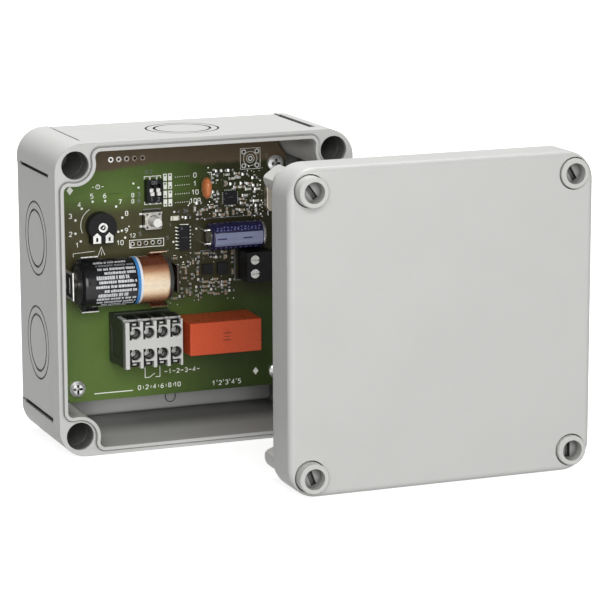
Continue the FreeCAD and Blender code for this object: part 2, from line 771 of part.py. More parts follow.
def clip(tag, x, wide, plate_x, dimple_x, dimple_long, plate_side):
    """A sprung sheet-metal clip: half a ring under the cell with flared lips,
    a foot on the board and an upright end plate that touches the cell's end."""
    ring = cut(
        tag + "_ring",
        cyl(tag + "_outer", "x", x, "clip_axis_y", "cell_z", "clip_rad + clip_thick", wide),
        [
            cyl(tag + "_inner", "x", "(%s) - 1" % x, "clip_axis_y", "cell_z", "clip_rad", "(%s) + 2" % wide),
            box(tag + "_front", "(%s) - 1" % x, "clip_axis_y - 20", "cell_z - 20", "(%s) + 2" % wide, 20, 40),
        ],
    )
    pieces = [ring]
    for s in (-1, 1):
        lipbox = box(tag + "_lip%d" % s, x, "0", "0", wide, 2.3, "clip_thick")
        lipbox.Placement = Placement(Vector(), Rotation(Vector(1, 0, 0), 158 * s))
        if s > 0:
            at(lipbox, x, "clip_axis_y + 0.2", "cell_z + clip_rad + clip_thick")
        else:
            at(lipbox, x, "clip_axis_y", "cell_z - clip_rad - 0.04")
        pieces.append(lipbox)
    foot_x = plate_x if plate_side < 0 else x
    foot_end = "(%s) + (%s)" % (x, wide) if plate_side < 0 else "(%s) + clip_thick" % plate_x
    pieces.append(
        box(tag + "_foot", foot_x, "board_front - clip_thick", "cell_z - 3", "(%s) - (%s)" % (foot_end, foot_x), "clip_thick", 6)
    )
    plate = cut(
        tag + "_plate",
        box(tag + "_plate_block", plate_x, "clip_axis_y - 4.6", "cell_z - 5", "clip_thick", "board_front - clip_axis_y + 4.6", 10),
        box(tag + "_plate_window", "(%s) - 1" % plate_x, "clip_axis_y + 3.4", "cell_z - 3", 3, 3.6, 6),
    )
    pieces.append(plate)
    pieces.append(cone(tag + "_dimple", "x", dimple_x, "clip_axis_y", "cell_z", 2.4 if plate_side < 0 else 1.4, 1.4 if plate_side < 0 else 2.4, dimple_long))
    return fuse(tag + "_whole", pieces)


clip_minus = clip("clip_minus", "clip_left_x", "clip_wide", "cell_left - 2.9", "cell_left - 2.6", 2.5, -1)
node("battery_clip_minus", clip_minus)
clip_plus = clip("clip_plus", "clip_right_x", "clip_wide", "cell_left + cell_long + 2.4", "cell_left + cell_long + 1.5", 1.1, 1)
node("battery_clip_plus", clip_plus)

# ---------------------------------------------------------------- timer dial
dial = cut(
    "dial_cut",
    fuse(
        "dial_solid",
        [
            cyl("dial_can", "y", "dial_x", "board_front - dial_high", "dial_z", "dial_rad", "dial_high - 0.5"),
            box("dial_shelf", "dial_x - 4.1", "board_front - dial_high", "dial_z - 5.9", 8.2, "dial_high - 0.5", 5.0),
            cyl("dial_foot_a", "y", "dial_x - 3", "board_front - 1", "dial_z + 2", 0.8, 1),
            cyl("dial_foot_b", "y", "dial_x + 3", "board_front - 1", "dial_z + 2", 0.8, 1),
            cyl("dial_foot_c", "y", "dial_x", "board_front - 1", "dial_z - 4.2", 0.8, 1),
        ],
    ),
    [cyl("dial_bore", "y", "dial_x", "board_front - dial_high - 1", "dial_z", "dial_rotor_rad + fit_play", 4.4)],
)
node("timer_dial_housing", dial)
rotor = cut(
    "rotor_cut",
    cyl("rotor_can", "y", "dial_x", "board_front - dial_high - 0.25", "dial_z", "dial_rotor_rad", 3.5),
    [
        cyl("rotor_well", "y", "dial_x", "board_front - dial_high - 1", "dial_z", 0.75, 2.3),
        box("rotor_slot", "dial_x - 1.25", "board_front - dial_high - 1", "dial_z - 0.3", 2.5, 1.55, 0.6),
    ],
)
node("timer_dial_rotor", rotor)


def lug(tag, x):
    """A five-sided contact lug with a hole, on the dial housing's face."""
    b = body(tag)
    outline = sketch(b, "XZ_Plane", tag + "_outline")
    polygon(outline, [(-1.45, -1.9), (1.45, -1.9), (1.45, 0.6), (0, 1.9), (-1.45, 0.6)])
    feature(b, "PartDesign::Pad", tag + "_pad", outline, Length=0.25)
    hole = sketch(b, "XZ_Plane", tag + "_hole", -1.0)
    polygon(hole, [(-0.4, -1.2), (0.4, -1.2), (0.4, 0.2), (-0.4, 0.2)])
    pocket(b, tag + "_hole_cut", hole, Type="ThroughAll", Midplane=True)
    at(b, x, "board_front - dial_high", "dial_z - 3.7")
    return b


node("timer_dial_lugs", group("dial_lugs", [lug("dial_lug_left", "dial_x - 2.3"), lug("dial_lug_right", "dial_x + 2.3")]))

# ---------------------------------------------------------------- timer range switch
slots = [
    box(
        "dip_slot%d" % k,
        "dip_x + %s*dip_pitch/2 - dip_slot_wide/2" % s,
        "board_front - dip_high - 1",
        "dip_z - 1.54",
        "dip_slot_wide",
        3.8,
        "dip_slot_long",
    )
    for k, s in enumerate((-1, 1))
]
node(
    "timer_switch_housing",
    cut(
        "dip_cut",
        box("dip_block", "dip_x - dip_wide/2", "board_front - dip_high", "dip_z - dip_tall/2", "dip_wide", "dip_high - 0.4", "dip_tall"),
        slots,
    ),
)
for k, s in enumerate((-1, 1)):
    # a stepped slider: the lower half stands proud, the upper half is low
    knob_x = "dip_x + %s*dip_pitch/2 - dip_knob_wide/2" % s
    knob = fuse(
        "dip_knob%d" % k,
        [
            box("dip_knob_proud%d" % k, knob_x, "board_front - dip_high - 0.9", "dip_z - 1.4", "dip_knob_wide", 3.0, "dip_knob_tall"),
            box("dip_knob_low%d" % k, knob_x, "board_front - dip_high + 0.2", "dip_z - 1.4 + dip_knob_tall", "dip_knob_wide", 1.9, "dip_knob_tall"),
        ],
    )
    node("timer_switch_slider_%s" % ("left" if s < 0 else "right"), knob)
pins = []
for k, s in enumerate((-1, 1)):
    for j, (z, dz) in enumerate((("dip_z + dip_tall/2", 1.0), ("dip_z - dip_tall/2 - 1.0", 1.0))):
        pins.append(box("dip_pin%d%d" % (k, j), "dip_x + %s*dip_pitch/2 - 0.3" % s, "board_front - 1.6", z, 0.6, 1.6, dz))
node("timer_switch_pins", group("dip_pins", pins))

# ---------------------------------------------------------------- learn button
node(
    "learn_button_base",
    box("key_base", "key_x - key_side/2", "board_front - key_base_high", "key_z - key_side/2", "key_side", "key_base_high", "key_side"),
)
cover = box(
    "key_cover_block", "key_x - key_side/2", "board_front - key_cover_high", "key_z - key_side/2", "key_side", "key_cover_high - key_base_high", "key_side"
)
cover = rounded("key_cover_soft", cover, lambda e: along(e, "y"), 0.5)
cover = cut(
    "key_cover_cut",
    cover,
    [cyl("key_bore", "y", "key_x", "board_front - key_cover_high - 1", "key_z", "key_stem_rad + key_stem_play", 4)]
    + [
        cyl("key_dent%d" % i, "y", "key_x + %d*2.2" % sx, "board_front - key_cover_high - 1", "key_z + %d*2.2" % sz, 0.45, 1.25)
        for i, (sx, sz, _) in enumerate(CORNERS)
    ],
)
node("learn_button_cover", cover)
node(
    "learn_button_stem",
    rounded(
        "key_stem_soft",
        cyl("key_stem", "y", "key_x", "board_front - key_stem_high", "key_z", "key_stem_rad", "key_stem_high - key_base_high - 0.4"),
        lambda e: face_edge(e, "y", VAL["board_front"] - VAL["key_stem_high"]),
        0.25,
    ),
)
node(
    "learn_button_pins",
    group(
        "key_pins",
        [
            box("key_pin%d" % i, x, "board_front - 0.6", "key_z + %d*2.25 - 0.35" % sz, 1.2, 0.6, 0.7)
            for i, (x, sz) in enumerate(
                (("key_x - key_side/2 - 1.2", 1), ("key_x - key_side/2 - 1.2", -1), ("key_x + key_side/2", 1), ("key_x + key_side/2", -1))
            )
        ],
    ),
)

# ---------------------------------------------------------------- chips and small parts
led = fuse(
    "led_whole",
    [
        box("led_base", "led_x - 1.6", "board_front - 0.4", "led_z - 0.8", 3.2, 0.4, 1.6),
        box("led_lens", "led_x - 1.05", "board_front - 1.1", "led_z - 0.7", 2.1, 0.8, 1.4),
    ],
)
node("status_light", led)

logic = box(
    "logic_block", "logic_x - logic_wide/2", "board_front - logic_high", "logic_z - logic_tall/2", "logic_wide", "logic_high - 0.2", "logic_tall"
)
logic = cut("logic_cut", logic, cyl("logic_dot", "y", "logic_x - 1.2", "board_front - logic_high - 1", "logic_z + 3.5", 0.45, 1.12))
node("logic_chip", logic)
leads = []
for s in (-1, 1):
    for i in range(7):
        x = "logic_x - logic_wide/2 - 1.05" if s < 0 else "logic_x + logic_wide/2"
        foot = "logic_x - logic_wide/2 - 1.05" if s < 0 else "logic_x + logic_wide/2 + 0.45"
        z = "logic_z + %d*logic_pitch - 0.2" % (i - 3)
        leads.append(
            fuse(
                "logic_lead%d%d" % (s, i),
                [
                    box("logic_foot%d%d" % (s, i), foot, "board_front - 0.2", z, 0.6, 0.2, 0.4),
                    box("logic_arm%d%d" % (s, i), "logic_x - logic_wide/2 - 0.6" if s < 0 else x, "board_front - 1.0", z, 0.6, 0.2, 0.4),
                    box(
                        "logic_leg%d%d" % (s, i),
                        "logic_x - logic_wide/2 - 0.65" if s < 0 else "logic_x + logic_wide/2 + 0.45",
                        "board_front - 1.0",
                        z,
                        0.2,
                        1.0,
                        0.4,
                    ),
                ],
            )
        )
node("logic_chip_leads", group("logic_leads", leads))

radio = box("radio_block", "radio_x - radio_side/2", "board_front - 0.9", "radio_z - radio_side/2", "radio_side", 0.9, "radio_side")
node("radio_chip", cut("radio_cut", radio, cyl("radio_dot", "y", "radio_x - 1.8", "board_front - 1.5", "radio_z + 1.8", 0.35, 0.68)))
node(
    "regulator_chips",
    group(
        "regulators",
        [
            box("regulator_a", 9.8, "board_front - 1.1", -0.4, 3.9, 1.1, 3.6),
            box("regulator_b", 15.6, "board_front - 1.1", -0.8, 3.9, 1.1, 4.2),
        ],
    ),
)

# Small soldered resistors and capacitors, in two fields of the board: round the
# radio chip and under the buffer capacitor. A fixed sequence spreads them.
KEEP_OFF = [
    # x low, x high, z low, z high of what else stands on the board
    (17.9, 23.9, 24.0, 30.0),
    (-1.6, 6.9, 7.7, 19.5),
    (8.6, 32.2, 8.4, 19.6),
    (6.0, 13.4, 27.2, 37.0),
    (9.2, 14.3, -1.1, 3.9),
    (15.0, 20.1, -1.5, 4.1),
    (22.6, 34.5, -3.9, 9.1),
    (-14.5, -0.6, 15.6, 38.0),
    (-3.2, 3.4, 19.0, 23.8),
    (32.9, 39.5, 18.2, 34.0),
    (24.7, 33.2, 36.5, 45.1),
    (-20.0, -4.0, 10.6, 14.4),
    (34.6, 42.0, 34.9, 42.5),
]
SMALL = []


def spread(count, x_lo, x_hi, z_lo, z_hi, seed):
    state, placed = seed, 0
    for _ in range(4000):
        if placed == count:
            break
        draws = []
        for _k in range(3):
            state = (1103515245 * state + 12345) % 2147483648
            draws.append((state >> 8) / 8388608.0)
        flat = draws[2] < 0.5
        half_x, half_z = (0.8, 0.42) if flat else (0.42, 0.8)
        x = round((x_lo + (x_hi - x_lo) * draws[0]) * 4) / 4.0
        z = round((z_lo + (z_hi - z_lo) * draws[1]) * 4) / 4.0
        gap = 0.28
        clear = all(
            x + half_x + gap < a or x - half_x - gap > b or z + half_z + gap < c or z - half_z - gap > d
            for a, b, c, d in KEEP_OFF
        ) and all(
            abs(x - o[0]) > half_x + o[2] + gap or abs(z - o[1]) > half_z + o[3] + gap for o in SMALL
        )
        if clear:
            SMALL.append((x, z, half_x, half_z))
            placed += 1


spread(44, 13.4, 32.4, 20.6, 37.4, 7)
spread(34, 7.4, 22.2, -8.6, 7.8, 19)
spread(16, -1.2, 9.0, -8.8, 7.0, 31)
spread(6, 3.8, 12.6, 20.6, 26.4, 43)


def smd(tag, members, high):
    return group(
        tag,
        [
            box("%s%d" % (tag, i), x - hx, "board_front - %s" % high, z - hz, 2 * hx, high, 2 * hz)
            for i, (x, z, hx, hz) in enumerate(members)
        ],
    )


node("chip_resistors", smd("resistor", SMALL[0::2], 0.45))
node("chip_capacitors", smd("small_cap", SMALL[1::2], 0.75))

# crystal: a flat metal can with round ends, lying on the board
can = box("crystal_block", "crystal_x", "board_front - crystal_high", "crystal_z", "crystal_wide", "crystal_high - 0.15", "crystal_tall")
can = rounded("crystal_round", can, lambda e: along(e, "y"), 1.9)
top_y = VAL["board_front"] - VAL["crystal_high"]
can = rounded("crystal_soft", can, lambda e: face_edge(e, "y", top_y), 0.35)
node("crystal_can", can)
node(
    "crystal_leads",
    group(
        "crystal_wires",
        [
            fuse(
                "crystal_wire%d" % i,
                [
                    cyl("crystal_run%d" % i, "z", x, "board_front - 1.6", "crystal_z - 1.6", 0.22, 1.6),
                    cyl("crystal_drop%d" % i, "y", x, "board_front - 1.9", "crystal_z - 1.5", 0.27, 1.9),
                ],
            )
            for i, x in enumerate(("crystal_x + 1.1", "crystal_x + 3.6"))
        ],
    ),
)

# buffer capacitor: an aluminium can in a printed sleeve, lying on the board
sleeve = cut(
    "sleeve_cut",
    rounded(
        "sleeve_soft",
        cyl("sleeve_tube", "x", "buffer_x", "board_front - buffer_rad", "buffer_z", "buffer_rad", "buffer_long"),
        lambda e: e.BoundBox.XLength < 1e-6,
        0.8,
    ),
    [
        cyl("sleeve_bore", "x", "buffer_x + 0.3", "board_front - buffer_rad", "buffer_z", "buffer_can_rad + 0.03", "buffer_long - 0.6"),
        cyl("sleeve_mouth_a", "x", "buffer_x - 1", "board_front - buffer_rad", "buffer_z", "buffer_can_rad - 1.1", "buffer_long + 2"),
    ],
)
node("buffer_capacitor_sleeve", sleeve)
aluminium = fuse(
    "can_whole",
    [
        rounded(
            "can_soft",
            cyl("can_body", "x", "buffer_x + 0.35", "board_front - buffer_rad", "buffer_z", "buffer_can_rad - 0.02", "buffer_long - 0.7"),
            lambda e: e.BoundBox.XLength < 1e-6,
            0.7,
        ),
        cyl("can_face", "x", "buffer_x + buffer_long - 0.5", "board_front - buffer_rad", "buffer_z", "buffer_can_rad - 1.3", 0.45),
        cyl("can_bung", "x", "buffer_x - 0.1", "board_front - buffer_rad", "buffer_z", "buffer_can_rad - 1.4", 0.6),
    ],
)
node("buffer_capacitor_can", aluminium)
node(
    "buffer_capacitor_leads",
    group(
        "buffer_wires",
        [
            fuse(
                "buffer_wire%d" % i,
                [
                    cyl("buffer_run%d" % i, "x", "buffer_x - 1.6", "board_front - buffer_rad", z, 0.3, 1.5),
                    cyl("buffer_drop%d" % i, "y", "buffer_x - 1.5", "board_front - buffer_rad - 0.4", z, 0.34, "buffer_rad + 0.4"),
                ],
            )
            for i, z in enumerate(("buffer_z - 2.5", "buffer_z + 2.5"))
        ],
    ),
)

# ceramic capacitor: a dipped disc on two wires, leaning to the left
disc = cyl("disc_body", "x", 0, 0, 0, "disc_rad", "disc_thick")
disc = rounded("disc_soft", disc, lambda e: e.BoundBox.XLength < 1e-6, 0.9)
disc.Placement = Placement(Vector(), Rotation(Vector(0, 0, 1), -16))
at(disc, "disc_x - disc_thick/2", "board_front - disc_rad - 1.0", "disc_z")
node("ceramic_capacitor", disc)
node(
    "ceramic_capacitor_leads",
    group(
        "disc_wires",
        [
            cyl("disc_wire%d" % i, "y", "disc_x + 1.1", "board_front - 1.55", z, 0.25, 1.55)
            for i, z in enumerate(("disc_z - 2.5", "disc_z + 2.5"))
        ],
    ),
)

# ---------------------------------------------------------------- relay
def wedge(name, inset, y_front, y_back):
    """A block that narrows towards the front by the cover's draft."""
    obj = add("Part::Wedge", name)
    put(obj, "Xmin", "relay_x + relay_draft + %s" % inset)
    put(obj, "Xmax", "relay_x + relay_long - relay_draft - %s" % inset)
    put(obj, "Zmin", "relay_z + relay_draft/2 + %s" % inset)
    put(obj, "Zmax", "relay_z + relay_tall - relay_draft/2 - %s" % inset)
    put(obj, "X2min", "relay_x + %s" % inset)
    put(obj, "X2max", "relay_x + relay_long - %s" % inset)
    put(obj, "Z2min", "relay_z + %s" % inset)
    put(obj, "Z2max", "relay_z + relay_tall - %s" % inset)
    put(obj, "Ymin", y_front)
    put(obj, "Ymax", y_back)
    return obj


outer = wedge("relay_outer", "0", "board_front - relay_high", "board_front - 0.1")
doc.recompute()
relay_front = VAL["board_front"] - VAL["relay_high"]
outer = rounded("relay_soft", outer, lambda e: e.BoundBox.YMin < relay_front + 1e-4, 0.45)
inner = wedge("relay_inner", "relay_wall", "board_front - relay_high + relay_wall", "board_front + 1")
marks = [
    cut(
        "relay_mark_ring",
        cyl("relay_mark_big", "y", 13.7, "board_front - relay_high - 1", -19.0, 0.95, 1.15),
        cyl("relay_mark_small", "y", 13.7, "board_front - relay_high - 1", -19.0, 0.6, 1.15),
    ),
    cut(
        "relay_mark_square",
        box("relay_mark_outer", 12.85, "board_front - relay_high - 1", -23.1, 1.8, 1.15, 1.6),
        box("relay_mark_inner", 13.25, "board_front - relay_high - 1", -22.75, 1.0, 1.15, 0.9),
    ),
]
node("relay_cover", cut("relay_cover_cut", outer, [inner] + marks))

relay_mid = "relay_z + relay_tall/2"
node(
    "relay_base",
    box("relay_floor", "relay_x + 1.0", "board_front - 1.6", "relay_z + 1.0", "relay_long - 2.0", 1.3, "relay_tall - 2.0"),
)
coil_y = "board_front - 8.2"
node(
    "relay_bobbin",
    cut(
        "bobbin_cut",
        fuse(
            "bobbin_solid",
            [
                cyl("bobbin_tube", "x", "relay_x + 2.45", coil_y, relay_mid, "coil_core_rad + 0.9", 13.1),
                box("bobbin_flange_a", "relay_x + 2.45", coil_y + " - 5", relay_mid + " - 4.6", 0.9, 10, 9.2),
                box("bobbin_flange_b", "relay_x + 14.7", coil_y + " - 5", relay_mid + " - 4.6", 0.9, 10, 9.2),
            ],
        ),
        cyl("bobbin_bore", "x", "relay_x + 1", coil_y, relay_mid, "coil_core_rad + 0.05", 18),
    ),
)
node(
    "relay_coil",
    cut(
        "coil_cut",
        cyl("coil_wound", "x", "relay_x + 3.4", coil_y, relay_mid, "coil_rad", 11.2),
        cyl("coil_bore", "x", "relay_x + 3", coil_y, relay_mid, "coil_core_rad + 1.0", 13),
    ),
)
node(
    "relay_core",
    cyl("core_rod", "x", "relay_x + 2.25", coil_y, relay_mid, "coil_core_rad", 14.05),
)
node(
    "relay_yoke",
    fuse(
        "yoke_whole",
        [
            box("yoke_end", "relay_x + 1.5", coil_y + " - 6", relay_mid + " - 4.2", 0.75, 11, 8.4),
            box("yoke_arm", "relay_x + 1.5", coil_y + " - 6", relay_mid + " - 4.2", 15.3, 0.7, 8.4),
        ],
    ),
)
# the armature pivots on the yoke's front edge and leans 0.7 mm off the core
arm = box("arm_plate", "relay_x + 17.0", coil_y + " - 5.1", relay_mid + " - 3.9", 0.8, 9.8, 7.8)
knife = cyl("arm_knife", "z", "relay_x + 17.4", coil_y + " - 5.4", relay_mid + " - 3.9", 0.4, 7.8)
pusher = box("arm_pusher", "relay_x + 17.6", coil_y + " + 2.9", relay_mid + " - 1.2", 1.6, 1.2, 2.4)
node("relay_armature", fuse("armature_whole", [arm, knife, pusher]))
node(
    "relay_contacts",
    group(
        "relay_springs",
        [
            box("spring_moving", "relay_x + 20.2", "board_front - 13.0", relay_mid + " - 2.0", 0.25, 11.4, 4.0),
            box("spring_closing", "relay_x + 22.0", "board_front - 12.0", relay_mid + " - 2.2", 0.4, 10.4, 4.4),
            box("spring_resting", "relay_x + 24.4", "board_front - 11.0", relay_mid + " - 2.2", 0.4, 9.4, 4.4),
        ],
    ),
)


def pin_set(tag, places, y, long, rad):
    return group(tag, [cyl("%s%d" % (tag, i), "y", x, y, z, rad, long) for i, (x, z) in enumerate(places)])


node("relay_pins", pin_set("relay_pin", RELAY_PINS, "board_front - 0.3", 3.6, 0.5))

# ---------------------------------------------------------------- mains terminal
# a dark end plate on the left, a light front with the wire entries, a dark foot
mains_front = "board_front - mains_high"
mains = fuse(
    "mains_front_solid",
    [
        box("mains_block", "mains_x + mains_plate", mains_front, "mains_z", "mains_long - mains_plate", "mains_front_deep", "mains_tall"),
        box("mains_ledge", "mains_x + mains_plate", mains_front + " + 2.4", "mains_z + 0.4", "mains_long - mains_plate", "mains_front_deep - 2.4", "mains_tall + 0.2"),
    ],
)
foot = fuse(
    "mains_foot_solid",
    [
        box("mains_foot_block", "mains_x + mains_plate", mains_front + " + mains_front_deep", "mains_z + 0.6", "mains_long - mains_plate", "mains_high - mains_front_deep", "mains_tall - 0.4"),
        box("mains_foot_ledge", "mains_x + mains_plate", "board_front - 3.0", "mains_z - 0.2", "mains_long - mains_plate", "3.0", "mains_tall + 0.9"),
    ],
)
front_cuts, foot_cuts, springs = [], [], []
for i in range(4):
    x = "mains_first_x + %d*mains_pitch" % i
    for j, (z, way) in enumerate((("mains_upper_z", 1), ("mains_lower_z", -1))):
        tag = "pole%d%d" % (i, j)
        front_cuts += [
            cyl(tag + "_entry", "y", x, mains_front + " - 1", z, "mains_entry_rad", 10.0),
            cone(tag + "_funnel", "y", x, mains_front, z, "mains_entry_rad + 0.2", "mains_entry_rad", 0.6),
            # the release slot, open at the upper or lower edge, and its groove
            box(tag + "_slot", x + " - 2.3", mains_front + " - 1", z + (" + 2.45" if way > 0 else " - 5.75"), 3.9, 4.4, 3.3),
            box(tag + "_groove", x + " - 2.3", mains_front + " - 1", z + (" - 2.1" if way > 0 else " - 3.5"), 0.85, 3.4, 5.6),
        ]
        foot_cuts.append(box(tag + "_pocket", x + " - 2.0", mains_front + " + mains_front_deep - 1", z + " - 2.4", 4.0, 12, 4.8))
        springs.append(
            fuse(
                tag + "_clamp",
                [
                    box(tag + "_clamp_a", x + " - 1.6", mains_front + " + 9.8", z + " - 2.1", 3.2, 0.4, 4.2),
                    box(tag + "_clamp_b", x + " - 1.6", mains_front + " + 9.8", z + (" + 1.7" if way > 0 else " - 2.1"), 3.2, 6.4, 0.4),
                ],
            )
        )
node("mains_terminal_front", cut("mains_cut", mains, front_cuts))
node("mains_terminal_foot", cut("mains_foot_cut", foot, foot_cuts))
plate = body("mains_plate")
sk = sketch(plate, "YZ_Plane", "mains_plate_outline")
polygon(
    sk,
    [
        (mains_front + " + 1.2", "mains_z + 0.3"),
        (mains_front + " + 10.5", "mains_z + 0.3"),
        (mains_front + " + 11.5", "mains_z - 0.2"),
        ("board_front - 0.3", "mains_z - 0.2"),
        ("board_front - 0.3", "mains_z + mains_tall + 0.7"),
        (mains_front + " + 11.5", "mains_z + mains_tall + 0.7"),
        (mains_front + " + 10.5", "mains_z + mains_tall + 0.2"),
        (mains_front + " + 3.4", "mains_z + mains_tall + 0.2"),
        (mains_front + " + 1.2", "mains_z + mains_tall - 1.2"),
    ],
)
feature(plate, "PartDesign::Pad", "mains_plate_pad", sk, Length="mains_plate - 0.02")
dents = sketch(plate, "YZ_Plane", "mains_plate_dents", -0.1)
polygon(
    dents,
    [
        (mains_front + " + 4.5", "mains_z + 3.0"),
        ("board_front - 3.0", "mains_z + 3.0"),
        ("board_front - 3.0", "mains_z + mains_tall - 3.0"),
        (mains_front + " + 4.5", "mains_z + mains_tall - 3.0"),
    ],
)
pocket(plate, "mains_plate_dent_cut", dents, Length=0.4)
at(plate, "mains_x", 0, 0)
node("mains_terminal_end_plate", plate)
node("mains_terminal_springs", group("mains_springs", springs))
node("mains_terminal_pins", pin_set("mains_pin", MAINS_PINS, "board_front - 1.3", 4.6, 0.5))

# ---------------------------------------------------------------- bell push terminal
bell = box("bell_block", "bell_x", "board_front - bell_high", "bell_z", "bell_wide", "bell_high", "bell_tall")
bell_cuts, contacts = [], []
for k, s in enumerate((1, -1)):
    z = "bell_mid_z + %d*bell_pitch/2" % s
    tag = "bell%d" % k
    level = "upper" if s > 0 else "lower"
    bell_cuts += [
        cyl(tag + "_well", "y", "bell_screw_x", "board_front - bell_high - 1", z, "bell_well_rad", 5.0),
        box(tag + "_pocket", "bell_screw_x - 2.7", "board_front - 7.0", z + " - 2.05", 4.8, 8, 4.1),
        box(tag + "_entry", "bell_screw_x + 2", "board_front - 5.0", z + " - 1.7", "bell_wide", 4.2, 3.4),
    ]
    # the cage rises on its screw and clamps the wire under the fixed contact
    cage = cut(
        tag + "_cage",
        box(tag + "_cage_block", "bell_screw_x - 1.7", "board_front - 5.3", z + " - 1.9", 3.6, 5.0, 3.8),
        [
            box(tag + "_cage_way", "bell_screw_x - 3", "board_front - 4.2", z + " - 1.35", 6, 3.0, 2.7),
            cyl(tag + "_cage_thread", "y", "bell_screw_x", "board_front - 8", z, "bell_thread_rad + fit_play", 4),
        ],
    )
    node("bell_terminal_cage_" + level, cage)
    contacts.append(
        fuse(
            tag + "_contact",
            [
                box(tag + "_contact_plate", "bell_screw_x - 2.5", "board_front - 3.9", z + " - 1.1", 4.2, 0.5, 2.2),
                box(tag + "_contact_leg", "bell_screw_x - 2.5", "board_front - 3.9", z + " - 0.5", 0.6, 3.9, 1.0),
                cyl(tag + "_contact_pin", "y", BELL_PINS[k][0], "board_front - 0.5", BELL_PINS[k][1], 0.4, 3.6),
            ],
        )
    )
    screw = cut(
        tag + "_screw",
        fuse(
            tag + "_screw_solid",
            [
                cyl(tag + "_screw_head", "y", "bell_screw_x", "board_front - bell_high + 0.5", z, "bell_head_rad", 1.8),
                cyl(tag + "_screw_thread", "y", "bell_screw_x", "board_front - bell_high + 2.0", z, "bell_thread_rad", 3.6),
            ],
        ),
        box(tag + "_screw_slot", "bell_screw_x - 2", "board_front - bell_high - 0.5", z + " - 0.25", 4, 1.8, 0.5),
    )
    node("bell_terminal_screw_" + level, screw)
node("bell_terminal_housing", cut("bell_cut", bell, bell_cuts))
node("bell_terminal_contacts", group("bell_contacts", contacts))

# ---------------------------------------------------------------- check and write
doc.recompute()
failed = [o.Name for o in made if "Invalid" in o.State or "Error" in o.State]
if failed:
    raise RuntimeError("failed objects: %s" % failed)
for name, obj in sorted(NODES.items()):
    shape = obj.Shape
    if shape.isNull() or not shape.isValid() or not shape.Solids:
        raise RuntimeError("bad shape: " + name)
    shape.exportStep("parts/%s.step" % name)
    print("%-28s solids %3d volume %10.2f" % (name, len(shape.Solids), shape.Volume))
print(len(NODES), "nodes")
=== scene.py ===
import json
import math
import random

import bmesh
import bpy
from mathutils import Matrix, Vector


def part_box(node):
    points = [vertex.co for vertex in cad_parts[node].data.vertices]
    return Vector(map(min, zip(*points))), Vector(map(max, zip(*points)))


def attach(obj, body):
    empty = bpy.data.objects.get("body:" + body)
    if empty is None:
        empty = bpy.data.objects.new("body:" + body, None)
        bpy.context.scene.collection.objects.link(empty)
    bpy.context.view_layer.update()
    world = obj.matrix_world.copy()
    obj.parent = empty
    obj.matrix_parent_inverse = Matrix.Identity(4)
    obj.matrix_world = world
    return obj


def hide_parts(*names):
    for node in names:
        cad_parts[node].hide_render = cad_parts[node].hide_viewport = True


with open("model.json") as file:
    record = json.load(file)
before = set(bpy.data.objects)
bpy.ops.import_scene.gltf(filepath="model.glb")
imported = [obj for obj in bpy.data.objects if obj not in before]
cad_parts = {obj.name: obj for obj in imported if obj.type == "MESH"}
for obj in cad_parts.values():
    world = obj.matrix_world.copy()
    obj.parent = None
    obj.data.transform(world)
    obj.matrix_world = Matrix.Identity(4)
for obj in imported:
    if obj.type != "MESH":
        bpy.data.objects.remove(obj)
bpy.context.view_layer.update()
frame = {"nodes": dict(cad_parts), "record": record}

# The looks of an open relay box: grey moulded wall box with a green circuit
# board, its lid standing beside it. Metres, X right, Y into the wall, Z up.


MM = 0.001
NODES = frame["nodes"]
scene = bpy.context.scene
coll = scene.collection


